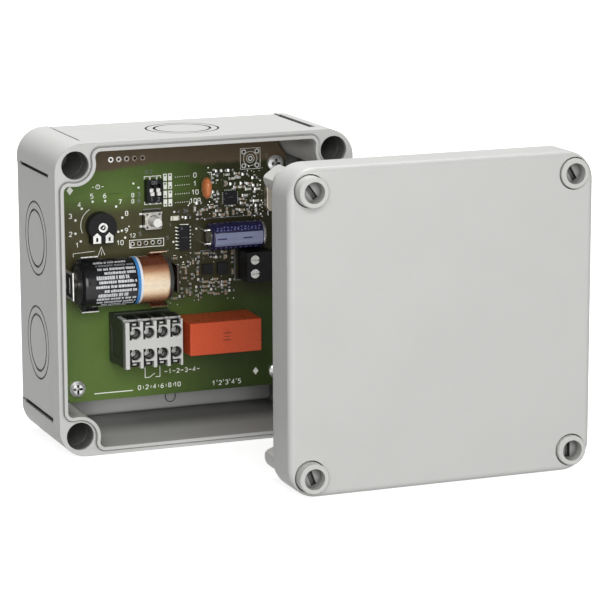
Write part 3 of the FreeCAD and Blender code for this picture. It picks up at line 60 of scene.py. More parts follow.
# ------------------------------------------------------------------ materials
class Mat:
    """A material that is built from nodes, with short helpers for wiring."""

    def __init__(self, name):
        self.m = bpy.data.materials.new(name)
        self.m.use_nodes = True
        self.t = self.m.node_tree
        for n in list(self.t.nodes):
            self.t.nodes.remove(n)
        self.out = self.t.nodes.new("ShaderNodeOutputMaterial")
        self.b = self.t.nodes.new("ShaderNodeBsdfPrincipled")
        self.t.links.new(self.b.outputs[0], self.out.inputs[0])
        self.coord = self.t.nodes.new("ShaderNodeTexCoord").outputs["Object"]

    def node(self, kind, **values):
        n = self.t.nodes.new(kind)
        for k, v in values.items():
            setattr(n, k, v)
        return n

    def link(self, a, b):
        self.t.links.new(a, b)

    def set(self, **values):
        for k, v in values.items():
            self.b.inputs[k.replace("_", " ")].default_value = v
        return self

    def noise(self, scale, detail=3.0, rough=0.55, stretch=None):
        n = self.node("ShaderNodeTexNoise")
        n.inputs["Scale"].default_value = scale
        n.inputs["Detail"].default_value = detail
        n.inputs["Roughness"].default_value = rough
        if stretch:
            m = self.node("ShaderNodeMapping")
            m.inputs["Scale"].default_value = stretch
            self.link(self.coord, m.inputs["Vector"])
            self.link(m.outputs[0], n.inputs["Vector"])
        else:
            self.link(self.coord, n.inputs["Vector"])
        return n.outputs["Fac"]

    def ramp(self, fac, stops):
        n = self.node("ShaderNodeValToRGB")
        ramp = n.color_ramp
        while len(ramp.elements) < len(stops):
            ramp.elements.new(0.5)
        for e, (pos, col) in zip(ramp.elements, stops):
            e.position = pos
            e.color = (*col, 1.0) if len(col) == 3 else col
        self.link(fac, n.inputs["Fac"])
        return n.outputs["Color"]

    def value_ramp(self, fac, lo, hi, from_lo=0.3, from_hi=0.7):
        n = self.node("ShaderNodeMapRange")
        n.inputs["From Min"].default_value = from_lo
        n.inputs["From Max"].default_value = from_hi
        n.inputs["To Min"].default_value = lo
        n.inputs["To Max"].default_value = hi
        self.link(fac, n.inputs["Value"])
        return n.outputs[0]

    def bump(self, fac, strength, distance, normal=None):
        n = self.node("ShaderNodeBump")
        n.inputs["Strength"].default_value = strength
        n.inputs["Distance"].default_value = distance
        self.link(fac, n.inputs["Height"])
        if normal is not None:
            self.link(normal, n.inputs["Normal"])
        return n.outputs[0]

    def soft_edges(self, radius):
        n = self.node("ShaderNodeBevel")
        n.samples = 6
        n.inputs["Radius"].default_value = radius
        return n.outputs[0]

    def to(self, out, socket):
        self.link(out, self.b.inputs[socket])
        return self

    def painted_crevice_shade(self, colour, reach, dark, samples=8):
        """Painted shade that gathers in grooves: the colour darkens where the same
        piece stands close around."""
        return self.times(colour, self.value_ramp(self.openness(reach, samples), dark, 1.0, 0.25, 0.9))

    def blend(self, fac, a, b):
        """Colour a where fac is 0 and b where it is 1."""
        mix = self.node("ShaderNodeMix", data_type="RGBA", blend_type="MIX")
        self.link(fac, mix.inputs[0])
        for sock, c in ((mix.inputs[6], a), (mix.inputs[7], b)):
            if isinstance(c, tuple):
                sock.default_value = (*c, 1.0)
            else:
                self.link(c, sock)
        return mix.outputs[2]

    def times(self, colour, fac):
        grey = self.node("ShaderNodeCombineColor")
        for k in range(3):
            self.link(fac, grey.inputs[k])
        mix = self.node("ShaderNodeMix", data_type="RGBA", blend_type="MULTIPLY")
        mix.inputs[0].default_value = 1.0
        self.link(colour, mix.inputs[6])
        self.link(grey.outputs[0], mix.inputs[7])
        return mix.outputs[2]

    def openness(self, reach, samples=8):
        n = self.node("ShaderNodeAmbientOcclusion")
        n.samples = samples
        n.only_local = True
        n.inputs["Distance"].default_value = reach
        return n.outputs["AO"]

    def math(self, op, a, b=None):
        n = self.node("ShaderNodeMath", operation=op)
        for sock, v in ((n.inputs[0], a), (n.inputs[1], b)):
            if v is None:
                continue
            if isinstance(v, (int, float)):
                sock.default_value = v
            else:
                self.link(v, sock)
        return n.outputs[0]

    def xyz(self):
        n = self.node("ShaderNodeSeparateXYZ")
        self.link(self.coord, n.inputs[0])
        return n.outputs


def scaled(col, k):
    return tuple(min(1.0, c * k) for c in col)


def plastic(name, col, rough=0.45, grain=2600.0, grain_depth=0.00002, vary=0.06, bevel=None, spec=0.45, sub=0.0, crevice_shade=None):
    m = Mat(name)
    broad = m.noise(38.0, 4.0, 0.6)
    colour = m.ramp(broad, [(0.30, scaled(col, 1 - vary)), (0.72, scaled(col, 1 + vary))])
    if crevice_shade:
        # painted shade in the grooves of the piece
        colour = m.painted_crevice_shade(colour, *crevice_shade)
    m.to(colour, "Base Color")
    fine = m.noise(grain, 2.0, 0.6)
    m.to(m.value_ramp(fine, rough - 0.06, rough + 0.07), "Roughness")
    normal = m.soft_edges(bevel) if bevel else None
    m.to(m.bump(fine, 0.35, grain_depth, normal), "Normal")
    m.set(Specular_IOR_Level=spec)
    if sub:
        m.set(Subsurface_Weight=sub, Subsurface_Radius=(0.0015, 0.0012, 0.001), Subsurface_Scale=1.0)
    return m.m


def metal(name, col, rough=0.28, grain=1500.0, depth=0.00001, vary=0.12, stretch=None, bevel=None, metallic=1.0):
    m = Mat(name)
    broad = m.noise(220.0, 4.0, 0.6, stretch)
    m.to(m.ramp(broad, [(0.3, scaled(col, 1 - vary)), (0.7, scaled(col, 1 + vary))]), "Base Color")
    fine = m.noise(grain, 3.0, 0.6, stretch)
    m.to(m.value_ramp(fine, max(0.05, rough - 0.08), rough + 0.12), "Roughness")
    normal = m.soft_edges(bevel) if bevel else None
    m.to(m.bump(fine, 0.4, depth, normal), "Normal")
    m.set(Metallic=metallic)
    return m.m



HOUSE = (0.560, 0.560, 0.545)


def housing_base():
    """Light grey moulding with painted shade: narrow grooves and deep wells are
    darker, the thin groove on the rim much less."""
    m = Mat("housing_base")
    x, y, z = m.xyz()
    colour = m.ramp(m.noise(38.0, 4.0, 0.6), [(0.30, scaled(HOUSE, 0.98)), (0.72, scaled(HOUSE, 1.02))])
    # painted shade in narrow grooves; the rim groove and the rings keep most of their colour
    narrow_shade = m.value_ramp(m.openness(0.0013), 0.03, 1.0, 0.30, 0.92)
    rim = m.value_ramp(y, 0.95, 0.0, -0.0465, -0.0457)
    lesser = m.math("MINIMUM", m.math("ABSOLUTE", x), m.math("ABSOLUTE", z))
    rings = m.value_ramp(lesser, 0.42, 0.0, 0.0380, 0.0405)
    colour = m.times(colour, m.math("MAXIMUM", m.math("MAXIMUM", narrow_shade, rim), rings))
    # painted shade in deep wells
    wide = m.value_ramp(m.openness(0.013), 0.26, 1.0, 0.34, 0.86)
    colour = m.times(colour, m.math("MAXIMUM", wide, rim))
    # painted shade: the floor of the room darkens towards the wall face
    low = m.value_ramp(z, 1.0, 0.0, -0.0519, -0.0514)
    inside = m.value_ramp(z, 0.0, 1.0, -0.0530, -0.0523)
    back = m.math("MULTIPLY", m.value_ramp(y, 0.14, 1.0, -0.0320, -0.0185), m.value_ramp(x, 0.70, 1.0, -0.034, -0.014))
    band = m.math("MULTIPLY", m.math("MULTIPLY", low, inside), back)
    colour = m.times(colour, m.math("SUBTRACT", 1.0, m.math("MULTIPLY", band, 0.66)))
    m.to(colour, "Base Color")
    fine = m.noise(2400.0, 2.0, 0.6)
    m.to(m.value_ramp(fine, 0.42, 0.55), "Roughness")
    m.to(m.bump(fine, 0.35, 0.00002, m.soft_edges(0.0004)), "Normal")
    m.set(Specular_IOR_Level=0.35)
    return m.m


def housing_lid():
    """The same moulding, with the narrow gap round each screw head in shade."""
    m = Mat("housing_lid")
    x, y, z = m.xyz()
    colour = m.ramp(m.noise(38.0, 4.0, 0.6), [(0.30, scaled(HOUSE, 0.98)), (0.72, scaled(HOUSE, 1.02))])
    # painted shade in narrow grooves
    colour = m.painted_crevice_shade(colour, 0.0012, 0.22)
    # painted shade in the narrow gap round each screw head
    dx = m.math("SUBTRACT", m.math("ABSOLUTE", m.math("SUBTRACT", x, 0.0540)), 0.0476)
    dz = m.math("SUBTRACT", m.math("ABSOLUTE", z), 0.0476)
    r = m.math("SQRT", m.math("ADD", m.math("MULTIPLY", dx, dx), m.math("MULTIPLY", dz, dz)))
    gap = m.value_ramp(r, 0.06, 1.0, 0.00548, 0.00556)
    colour = m.times(colour, gap)
    m.to(colour, "Base Color")
    fine = m.noise(2400.0, 2.0, 0.6)
    m.to(m.value_ramp(fine, 0.42, 0.55), "Roughness")
    m.to(m.bump(fine, 0.35, 0.00002, m.soft_edges(0.0004)), "Normal")
    m.set(Specular_IOR_Level=0.35)
    return m.m


def pad_metal():
    """Tinned pads; the row at the top turns darker and browner towards its right end."""
    m = Mat("pad_metal")
    x, _, z = m.xyz()
    dimmed = m.math("MULTIPLY", m.value_ramp(z, 0.0, 1.0, 0.0370, 0.0380), m.value_ramp(x, 0.0, 1.0, -0.0230, -0.0150))
    dimmed = m.math("MULTIPLY", dimmed, m.value_ramp(x, 1.0, 0.0, 0.0100, 0.0110))
    bright = m.ramp(m.noise(300.0, 3.0), [(0.3, (0.80, 0.80, 0.78)), (0.7, (0.95, 0.95, 0.93))])
    m.to(m.blend(dimmed, bright, (0.30, 0.25, 0.21)), "Base Color")
    m.to(m.value_ramp(m.noise(1500.0, 2.0), 0.22, 0.42), "Roughness")
    m.to(m.bump(m.noise(900.0, 2.0), 0.4, 0.00001), "Normal")
    m.set(Metallic=1.0)
    return m.m


def foil_copper():
    """Metallised wrap with a painted highlight along the middle of its front and
    painted shade deeper towards the upper and lower edge, with fine brushing
    along the cell."""
    m = Mat("label_copper")
    _, _, z = m.xyz()
    # painted highlight in the middle and painted shade towards the edges, by height on the cell
    t = m.math("MULTIPLY", m.math("ABSOLUTE", m.math("SUBTRACT", z, 0.0004)), 1 / 0.0085)
    brushed = m.math("MULTIPLY", m.math("SUBTRACT", m.noise(900.0, 3.0, 0.6, (0.12, 1.0, 1.0)), 0.5), 0.14)
    t = m.math("ADD", t, brushed)
    stops = [(0.12, (0.98, 0.82, 0.62)), (0.40, (0.84, 0.60, 0.38)), (0.62, (0.48, 0.23, 0.12)), (0.84, (0.15, 0.044, 0.020))]
    m.to(m.ramp(t, stops), "Base Color")
    m.set(Metallic=0.2, Specular_IOR_Level=0.5)
    m.to(m.value_ramp(m.noise(600.0, 2.0), 0.18, 0.32), "Roughness")
    return m.m


def screw_steel():
    """Bright zinc with painted shade in the cross recess."""
    m = Mat("screw_steel")
    colour = m.ramp(m.noise(420.0, 3.0), [(0.35, (0.55, 0.55, 0.55)), (0.60, (1.0, 1.0, 1.0))])
    # painted shade in the cross recess
    colour = m.times(colour, m.value_ramp(m.openness(0.0011, 12), 0.02, 1.0, 0.50, 0.86))
    m.to(colour, "Base Color")
    m.to(m.value_ramp(m.noise(1500.0, 2.0), 0.22, 0.40), "Roughness")
    m.to(m.bump(m.noise(700.0, 2.0), 0.4, 0.00002, m.soft_edges(0.0001)), "Normal")
    m.set(Metallic=0.65)
    return m.m


MATS = {
    # painted shade in narrow grooves
    "housing_grey": plastic("housing_grey", HOUSE, 0.46, 2400.0, 0.00002, 0.02, 0.0004, spec=0.35, crevice_shade=(0.0012, 0.22)),
    "housing_base": housing_base(),
    "housing_lid": housing_lid(),
    "pad_metal": pad_metal(),
    # painted shade deep in the screw dish
    "cover_screw_grey": plastic("cover_screw_grey", (0.57, 0.57, 0.55), 0.42, 2400.0, 0.00002, 0.03, 0.0002, spec=0.35, crevice_shade=(0.0045, 0.06)),
    "seal_foam": plastic("seal_foam", (0.40, 0.40, 0.38), 0.85, 3000.0, 0.00006, 0.1),
    "steel_zinc": metal("steel_zinc", (0.90, 0.89, 0.87), 0.30, bevel=0.0001),
    "solder": metal("solder", (0.90, 0.90, 0.88), 0.30),
    "spring_steel": metal("spring_steel", (0.80, 0.79, 0.76), 0.28, bevel=0.00008),
    "clip_copper": metal("clip_copper", (0.86, 0.60, 0.42), 0.30, bevel=0.00008),
    "black_plastic": plastic("black_plastic", (0.0085, 0.0085, 0.0095), 0.42, 3000.0, 0.00001, 0.2, 0.00012, spec=0.22),
    "chip_black": plastic("chip_black", (0.010, 0.010, 0.012), 0.45, 4000.0, 0.00001, 0.2, 0.00008, spec=0.22),
    "white_plastic": plastic("white_plastic", (0.86, 0.85, 0.82), 0.38, 3000.0, 0.00001, 0.04, 0.0001),
    "cover_tin": metal("cover_tin", (0.58, 0.57, 0.53), 0.36, bevel=0.00012, vary=0.25),
    "light_lens": plastic("light_lens", (0.90, 0.88, 0.76), 0.2, 3000.0, 0.000002, 0.04, 0.0001),
    "sleeve_blue": plastic("sleeve_blue", (0.016, 0.015, 0.058), 0.20, 1200.0, 0.000004, 0.15, spec=0.4),
    "can_aluminium": metal("can_aluminium", (0.88, 0.88, 0.90), 0.25),
    "crystal_metal": metal("crystal_metal", (0.60, 0.54, 0.46), 0.34, bevel=0.00015),
    "dipped_orange": plastic("dipped_orange", (0.62, 0.20, 0.065), 0.28, 1500.0, 0.00002, 0.15),
    "relay_orange": plastic("relay_orange", (0.64, 0.093, 0.033), 0.30, 1500.0, 0.000006, 0.06, 0.00015, spec=0.28),
    "iron": metal("iron", (0.5, 0.49, 0.47), 0.4),
    "copper_wire": metal("copper_wire", (0.65, 0.28, 0.12), 0.35),
    "contact_brass": metal("contact_brass", (0.72, 0.55, 0.26), 0.3),
    "terminal_dark": plastic("terminal_dark", (0.060, 0.068, 0.052), 0.45, 3000.0, 0.00001, 0.10, 0.00015, spec=0.25),
    # painted shade in the terminal's slots and openings
    "terminal_grey": plastic("terminal_grey", (0.60, 0.60, 0.58), 0.40, 3000.0, 0.00001, 0.03, 0.00015, crevice_shade=(0.0022, 0.12)),
    "ink_white": plastic("ink_white", (0.93, 0.95, 0.88), 0.55, 5000.0, 0.000004, 0.05),
    "ink_grey": plastic("ink_grey", (0.66, 0.67, 0.69), 0.45, 5000.0, 0.000004, 0.25),
    "ink_dim": plastic("ink_dim", (0.20, 0.21, 0.23), 0.5, 5000.0, 0.000004, 0.2),
    "relay_ink": plastic("relay_ink", (0.035, 0.006, 0.005), 0.5, 5000.0, 0.000004, 0.2),
    "resistor_black": plastic("resistor_black", (0.020, 0.020, 0.022), 0.32, 4000.0, 0.000006, 0.2, 0.00005),
    "capacitor_tan": plastic("capacitor_tan", (0.30, 0.20, 0.12), 0.38, 4000.0, 0.000006, 0.2, 0.00005),
    "ceramic_white": plastic("ceramic_white", (0.66, 0.65, 0.61), 0.4, 4000.0, 0.000006, 0.1, 0.00005),
    "stripe_lilac": plastic("stripe_lilac", (0.225, 0.25, 0.385), 0.20, 1800.0, 0.000004, 0.25),
    "dash_navy": plastic("dash_navy", (0.03, 0.03, 0.10), 0.3, 1800.0, 0.000003, 0.15),
    "cell_can": metal("cell_can", (0.80, 0.80, 0.80), 0.25, bevel=0.0001),
    "label_black": plastic("label_black", (0.010, 0.010, 0.012), 0.20, 700.0, 0.000004, 0.2),
    "band_blue": plastic("band_blue", (0.06, 0.26, 0.62), 0.22, 900.0, 0.000003, 0.08),
    "band_white": plastic("band_white", (0.80, 0.83, 0.86), 0.22, 900.0, 0.000003, 0.05),
    "label_copper": foil_copper(),
    "cell_end": plastic("cell_end", (0.055, 0.055, 0.055), 0.35, 1200.0, 0.000004, 0.2),
    "solder_dull": metal("solder_dull", (0.46, 0.46, 0.43), 0.42),
    "screw_steel": screw_steel(),
    "key_dark": plastic("key_dark", (0.06, 0.055, 0.05), 0.4, 3000.0, 0.000006, 0.2),
    "sleeve_print": plastic("sleeve_print", (0.16, 0.17, 0.40), 0.3, 1800.0, 0.000003, 0.2),
}


def board_skin():
    """Green mask over copper areas, bare brown laminate along the top, a
    darker field round the middle, with soft uneven borders between them; the
    mask is darker towards the right as painted shadow."""
    m = Mat("board_skin")
    x, _, z = m.xyz()
    drift = m.math("MULTIPLY", m.math("SUBTRACT", m.noise(34.0, 4.0, 0.6), 0.5), 0.010)
    zz = m.math("ADD", z, drift)
    slope = m.math("ADD", zz, m.math("MULTIPLY", x, 0.03))
    brown = m.value_ramp(slope, 0.0, 1.0, 0.0392, 0.0405)
    upper = m.math("MULTIPLY", m.value_ramp(zz, 0.0, 1.0, 0.0235, 0.0300), m.value_ramp(x, 1.0, 0.25, 0.004, 0.017))
    lower = m.value_ramp(zz, 1.0, 0.0, -0.0120, -0.0030)
    green = m.math("MAXIMUM", upper, lower)
    fine = m.noise(420.0, 3.0, 0.6)
    olive_c = m.ramp(fine, [(0.3, (0.066, 0.062, 0.026)), (0.7, (0.076, 0.070, 0.031))])
    green_c = m.ramp(fine, [(0.3, (0.099, 0.162, 0.035)), (0.7, (0.107, 0.174, 0.039))])
    brown_c = m.ramp(fine, [(0.3, (0.120, 0.088, 0.053)), (0.7, (0.130, 0.094, 0.057))])
    # painted shadow of the lid: the mask darkens towards the right
    shade = m.value_ramp(x, 1.0, 0.36, -0.020, 0.020)
    colour = m.blend(brown, m.times(m.blend(green, olive_c, green_c), shade), brown_c)
    m.to(colour, "Base Color")
    grain = m.noise(1500.0, 2.0, 0.6)
    m.to(m.value_ramp(grain, 0.30, 0.40), "Roughness")
    m.to(m.bump(grain, 0.15, 0.000003), "Normal")
    m.set(Specular_IOR_Level=0.2)
    return m.m


def clip_plus():
    m = Mat("clip_copper")
    x, _, _ = m.xyz()
    colour = m.blend(m.value_ramp(x, 0.0, 1.0, -0.0072, -0.0066), (0.86, 0.60, 0.42), (0.16, 0.13, 0.11))
    m.to(m.times(colour, m.value_ramp(m.noise(260.0, 3.0), 0.85, 1.0)), "Base Color")
    m.to(m.value_ramp(m.noise(1500.0, 2.0), 0.24, 0.40), "Roughness")
    m.to(m.bump(m.noise(1500.0, 2.0), 0.3, 0.000006, m.soft_edges(0.00008)), "Normal")
    m.set(Metallic=1.0)
    return m.m


MATS["board_green"] = board_skin()
MATS["clip_copper"] = clip_plus()
record = frame["record"]
SLOT_OF = {s["node"]: s["material_slot"] for s in record["subparts"]}
LOOK = {
    "battery_clip_plus": "clip_copper",
    "crystal_can": "crystal_metal",
    "timer_dial_rotor": "steel_zinc",
    "timer_dial_lugs": "steel_zinc",
    "base_shell": "housing_base",
    "lid_shell": "housing_lid",
    "solder_pads": "pad_metal",
    "board_screws": "screw_steel",
}
for name in NODES:
    if name.startswith("cover_screw"):
        LOOK[name] = "cover_screw_grey"
for name, obj in NODES.items():
    obj.data.materials.clear()
    obj.data.materials.append(MATS[LOOK.get(name, SLOT_OF[name])])


# ------------------------------------------------------------------ mesh helpers
# Lengths in mm here; finished pieces are scaled to metres.
class Piece:
    def __init__(self, name, mats, body, slot, replaces=(), smooth=None):
        self.name, self.mats, self.body, self.slot = name, mats, body, slot
        self.replaces, self.smooth = replaces, smooth
        self.bm = bmesh.new()
        self.step = 0

    def face(self, verts, mat=0):
        f = self.bm.faces.new(verts)
        f.material_index = mat
        return f

    def prism(self, pts, y0, y1, mat=0):
        """A plate with the outline pts in X and Z, from y0 (front) to y1."""
        a = [self.bm.verts.new((x, y0, z)) for x, z in pts]
        b = [self.bm.verts.new((x, y1, z)) for x, z in pts]
        n = len(pts)
        self.face(a, mat)
        self.face(b[::-1], mat)
        for i in range(n):
            self.face((a[(i + 1) % n], a[i], b[i], b[(i + 1) % n]), mat)

    def strip(self, pts, wide, y0, y1, mat=0, closed=False):
        """A line of even width along pts, with mitred corners."""
        n = len(pts)
        left, right = [], []
        for i, (x, z) in enumerate(pts):
            p = pts[i - 1] if i or closed else None
            q = pts[(i + 1) % n] if i < n - 1 or closed else None
            dirs = []
            for u, v in ((p, (x, z)), ((x, z), q)):
                if u is not None and v is not None:
                    dx, dz = v[0] - u[0], v[1] - u[1]
                    s = math.hypot(dx, dz) or 1.0
                    dirs.append((dx / s, dz / s))
            nx = -sum(d[1] for d in dirs) / len(dirs)
            nz = sum(d[0] for d in dirs) / len(dirs)
            s = math.hypot(nx, nz) or 1.0
            k = min(wide / 2 / max(s, 0.35), wide * 1.2)
            left.append((x + nx / s * k, z + nz / s * k))
            right.append((x - nx / s * k, z - nz / s * k))
        loops = []
        for y in (y0, y1):
            loops.append([self.bm.verts.new((x, y, z)) for x, z in left])
            loops.append([self.bm.verts.new((x, y, z)) for x, z in right])
        lf, rf, lb, rb = loops
        last = n if closed else n - 1
        for i in range(last):
            j = (i + 1) % n
            self.face((lf[i], lf[j], rf[j], rf[i]), mat)
            self.face((lb[j], lb[i], rb[i], rb[j]), mat)
            self.face((lf[j], lf[i], lb[i], lb[j]), mat)
            self.face((rf[i], rf[j], rb[j], rb[i]), mat)
        if not closed:
            self.face((lf[0], rf[0], rb[0], lb[0]), mat)
            self.face((rf[-1], lf[-1], lb[-1], rb[-1]), mat)

    def box(self, x0, x1, y0, y1, z0, z1, mat=0, soft=0.0):
        """A block with its front corners taken off by soft."""
        s = soft
        ring0 = [(x0 + s, z0 + s), (x1 - s, z0 + s), (x1 - s, z1 - s), (x0 + s, z1 - s)]
        ring1 = [(x0, z0), (x1, z0), (x1, z1), (x0, z1)]
        f = [self.bm.verts.new((x, y0, z)) for x, z in ring0]
        b = [self.bm.verts.new((x, y1, z)) for x, z in ring1]
        m = [self.bm.verts.new((x, y0 + s, z)) for x, z in ring1] if s else f
        self.face(f, mat)
        self.face(b[::-1], mat)
        for i in range(4):
            j = (i + 1) % 4
            if s:
                self.face((f[j], f[i], m[i], m[j]), mat)
            self.face((m[j], m[i], b[i], b[j]), mat)

    def lathe(self, axis, centre, profile, n=96, a0=0.0, a1=None):
        """profile is (along, radius, material to the next point). A full turn,
        or a closed wedge of skin from angle a0 to a1."""
        rows = []
        whole = a1 is None
        count = n if whole else n + 1
        for along, rad, _ in profile:
            row = []
            if rad < 1e-6:
                row = [self.bm.verts.new(self._at(axis, centre, along, 0, 0))] * count
            else:
                for k in range(count):
                    ang = 2 * math.pi * k / n if whole else a0 + (a1 - a0) * k / n
                    row.append(self.bm.verts.new(self._at(axis, centre, along, rad, ang)))
            rows.append(row)
        for i in range(len(rows) - 1):
            for k in range(n):
                j = (k + 1) % count
                quad = [rows[i][k], rows[i][j], rows[i + 1][j], rows[i + 1][k]]
                seen = []
                for v in quad:
                    if v not in seen:
                        seen.append(v)
                if len(seen) > 2:
                    self.face(seen, profile[i][2])
        return rows

    @staticmethod
    def _at(axis, c, along, rad, ang):
        """Angle 0 looks out of the wall, -Y, and turns towards +Z (axis x) or +X (axis y)."""
        if axis == "x":
            return (c[0] + along, c[1] - rad * math.cos(ang), c[2] + rad * math.sin(ang))
        return (c[0] + rad * math.sin(ang), c[1] + along, c[2] + rad * math.cos(ang))

    def patch(self, centre, x0, x1, rad, a0, a1, thick=0.05, mat=0, n=8):
        """A thin skin on a cylinder along X, closed all round."""
        grid = []
        for r in (rad + thick, rad - 0.02):
            for x in (x0, x1):
                grid.append([self.bm.verts.new(self._at("x", (0, centre[0], centre[1]), x, r, a0 + (a1 - a0) * k / n)) for k in range(n + 1)])
        of, og, inf, ing = grid
        for k in range(n):
            self.face((of[k], of[k + 1], og[k + 1], og[k]), mat)
            self.face((ing[k], ing[k + 1], inf[k + 1], inf[k]), mat)
            self.face((inf[k], inf[k + 1], of[k + 1], of[k]), mat)
            self.face((og[k], og[k + 1], ing[k + 1], ing[k]), mat)
        self.face((of[0], og[0], ing[0], inf[0]), mat)
        self.face((og[n], of[n], inf[n], ing[n]), mat)

    def done(self):
        bmesh.ops.recalc_face_normals(self.bm, faces=self.bm.faces)
        bmesh.ops.scale(self.bm, vec=(MM, MM, MM), verts=self.bm.verts)
        me = bpy.data.meshes.new(self.name)
        self.bm.to_mesh(me)
        self.bm.free()
        for m in self.mats:
            me.materials.append(MATS[m])
        obj = bpy.data.objects.new(self.name, me)
        coll.objects.link(obj)
        if self.smooth:
            me.polygons.foreach_set("use_smooth", [True] * len(me.polygons))
            me.set_sharp_from_angle(angle=math.radians(self.smooth))
        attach(obj, self.body)
        if self.replaces:
            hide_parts(*self.replaces)
        return obj


def loose(node):
    """The boxes of a node's separate solids, in mm."""
    me = NODES[node].data
    bm = bmesh.new()
    bm.from_mesh(me)
    bmesh.ops.remove_doubles(bm, verts=bm.verts, dist=1e-6)
    seen, out = set(), []
    for v in bm.verts:
        if v.index in seen:
            continue
        stack, group = [v], []
        seen.add(v.index)
        while stack:
            w = stack.pop()
            group.append(w.co.copy())
            for e in w.link_edges:
                o = e.other_vert(w)
                if o.index not in seen:
                    seen.add(o.index)
                    stack.append(o)
        lo = [min(c[k] for c in group) * 1000 for k in range(3)]
        hi = [max(c[k] for c in group) * 1000 for k in range(3)]
        out.append((lo, hi))
    bm.free()
    return sorted(out)


GLYPHS = {
    "0": [[(0, 0.25), (0, 1.35), (0.25, 1.6), (0.75, 1.6), (1, 1.35), (1, 0.25), (0.75, 0), (0.25, 0), (0, 0.25)]],
    "1": [[(0.1, 1.2), (0.55, 1.6), (0.55, 0)]],
    "2": [[(0, 1.3), (0.25, 1.6), (0.75, 1.6), (1, 1.3), (1, 1.0), (0, 0), (1, 0)]],
    "3": [[(0, 1.4), (0.25, 1.6), (0.75, 1.6), (1, 1.35), (1, 1.05), (0.65, 0.85), (1, 0.6), (1, 0.25), (0.75, 0), (0.25, 0), (0, 0.2)]],
    "4": [[(0.75, 0), (0.75, 1.6), (0, 0.45), (1.05, 0.45)]],
    "5": [[(1, 1.6), (0.1, 1.6), (0.05, 0.95), (0.7, 0.95), (1, 0.7), (1, 0.25), (0.7, 0), (0.05, 0)]],
    "6": [[(0.85, 1.6), (0.3, 1.25), (0, 0.75), (0, 0.25), (0.25, 0), (0.75, 0), (1, 0.25), (1, 0.6), (0.75, 0.85), (0.15, 0.8)]],
    "7": [[(0, 1.6), (1, 1.6), (0.4, 0)]],
    "8": [[(0.25, 0.85), (0, 1.1), (0, 1.35), (0.25, 1.6), (0.75, 1.6), (1, 1.35), (1, 1.1), (0.75, 0.85), (1, 0.6), (1, 0.25), (0.75, 0), (0.25, 0), (0, 0.25), (0, 0.6), (0.25, 0.85)]],
    "9": [[(0.15, 0), (0.7, 0.35), (1, 0.85), (1, 1.35), (0.75, 1.6), (0.25, 1.6), (0, 1.35), (0, 1.0), (0.25, 0.75), (0.85, 0.8)]],
    "O": [[(0, 0.25), (0, 1.35), (0.25, 1.6), (0.75, 1.6), (1, 1.35), (1, 0.25), (0.75, 0), (0.25, 0), (0, 0.25)]],
    "N": [[(0, 0), (0, 1.6), (1, 0), (1, 1.6)]],
    "x": [[(0, 0), (1, 1.1)], [(0, 1.1), (1, 0)]],
    "+": [[(0, 0.8), (1, 0.8)], [(0.5, 0.3), (0.5, 1.3)]],
    "-": [[(0, 0.8), (1, 0.8)]],
}


def write(piece, text, x, z, size, y0, y1, wide=0.22, centred=True, mat=0, tilt=0.0):
    """Plain figures; size is their height, x and z the middle (or the left)."""
    k = size / 1.6
    step = k * 1.45
    left = x - (step * (len(text) - 1) + k) / 2 if centred else x
    for i, ch in enumerate(text):
        for s, line in enumerate(GLYPHS.get(ch, [])):
            pts = []
            for gx, gz in line:
                px, pz = left + i * step + gx * k, z + (gz - 0.8) * k
                pts.append((px, pz + (px - x) * tilt))
            piece.strip(pts, wide, y0 - 0.004 * s, y1, mat)


def disc(cx, cz, r, n=14):
    return [(cx + r * math.cos(2 * math.pi * k / n), cz + r * math.sin(2 * math.pi * k / n)) for k in range(n)]


def arc(cx, cz, r, a0, a1, n=20):
    return [(cx + r * math.cos(math.radians(a0 + (a1 - a0) * k / n)), cz + r * math.sin(math.radians(a0 + (a1 - a0) * k / n))) for k in range(n + 1)]


def ring(piece, cx, cz, r, wide, y0, y1, mat=0, n=20):
    piece.strip(arc(cx, cz, r, 0, 360 - 360 / n, n - 1), wide, y0, y1, mat, closed=True)


def rect(x0, z0, x1, z1):
    return [(x0, z0), (x1, z0), (x1, z1), (x0, z1)]


# ------------------------------------------------------------------ print on the board
FACE = -13.5
Y0, Y1 = FACE - 0.03, FACE + 0.02
rnd = random.Random(7)
ink = Piece("board_print", ["ink_white", "ink_dim"], "base", "white_plastic")
for x, z in [(-35.7, 14.8), (-37.6, 17.7), (-37.5, 22.5), (-35.1, 26.55), (-31.0, 28.8), (-26.35, 28.75), (-22.3, 26.5), (-20.05, 22.35), (-21.65, 17.3), (-20.3, 17.6), (-19.1, 15.0)]:
    ink.prism(disc(x, z, 0.44), Y0, Y1)
for text, x, z in [("1", -37.0, 13.5), ("2", -39.4, 17.6), ("3", -39.4, 24.1), ("4", -36.0, 28.05), ("5", -31.3, 30.8), ("6", -26.5, 30.7), ("7", -20.8, 28.1), ("8", -18.4, 23.8), ("9", -18.6, 17.6), ("10", -21.0, 13.3)]:
    write(ink, text, x, z, 1.55, Y0, Y1, 0.27)
ink.strip(arc(-29.2, 20.4, 6.4, 118, 205, 22), 0.2, Y0, Y1)
ring(ink, -29.0, 34.0, 0.75, 0.26, Y0, Y1)
ink.strip([(-29.0, 34.0), (-29.0, 34.45)], 0.24, Y0, Y1)
ink.strip([(-31.2, 34.0), (-30.4, 34.0)], 0.26, Y0, Y1)
ink.strip([(-27.6, 34.0), (-26.8, 34.0)], 0.26, Y0, Y1)

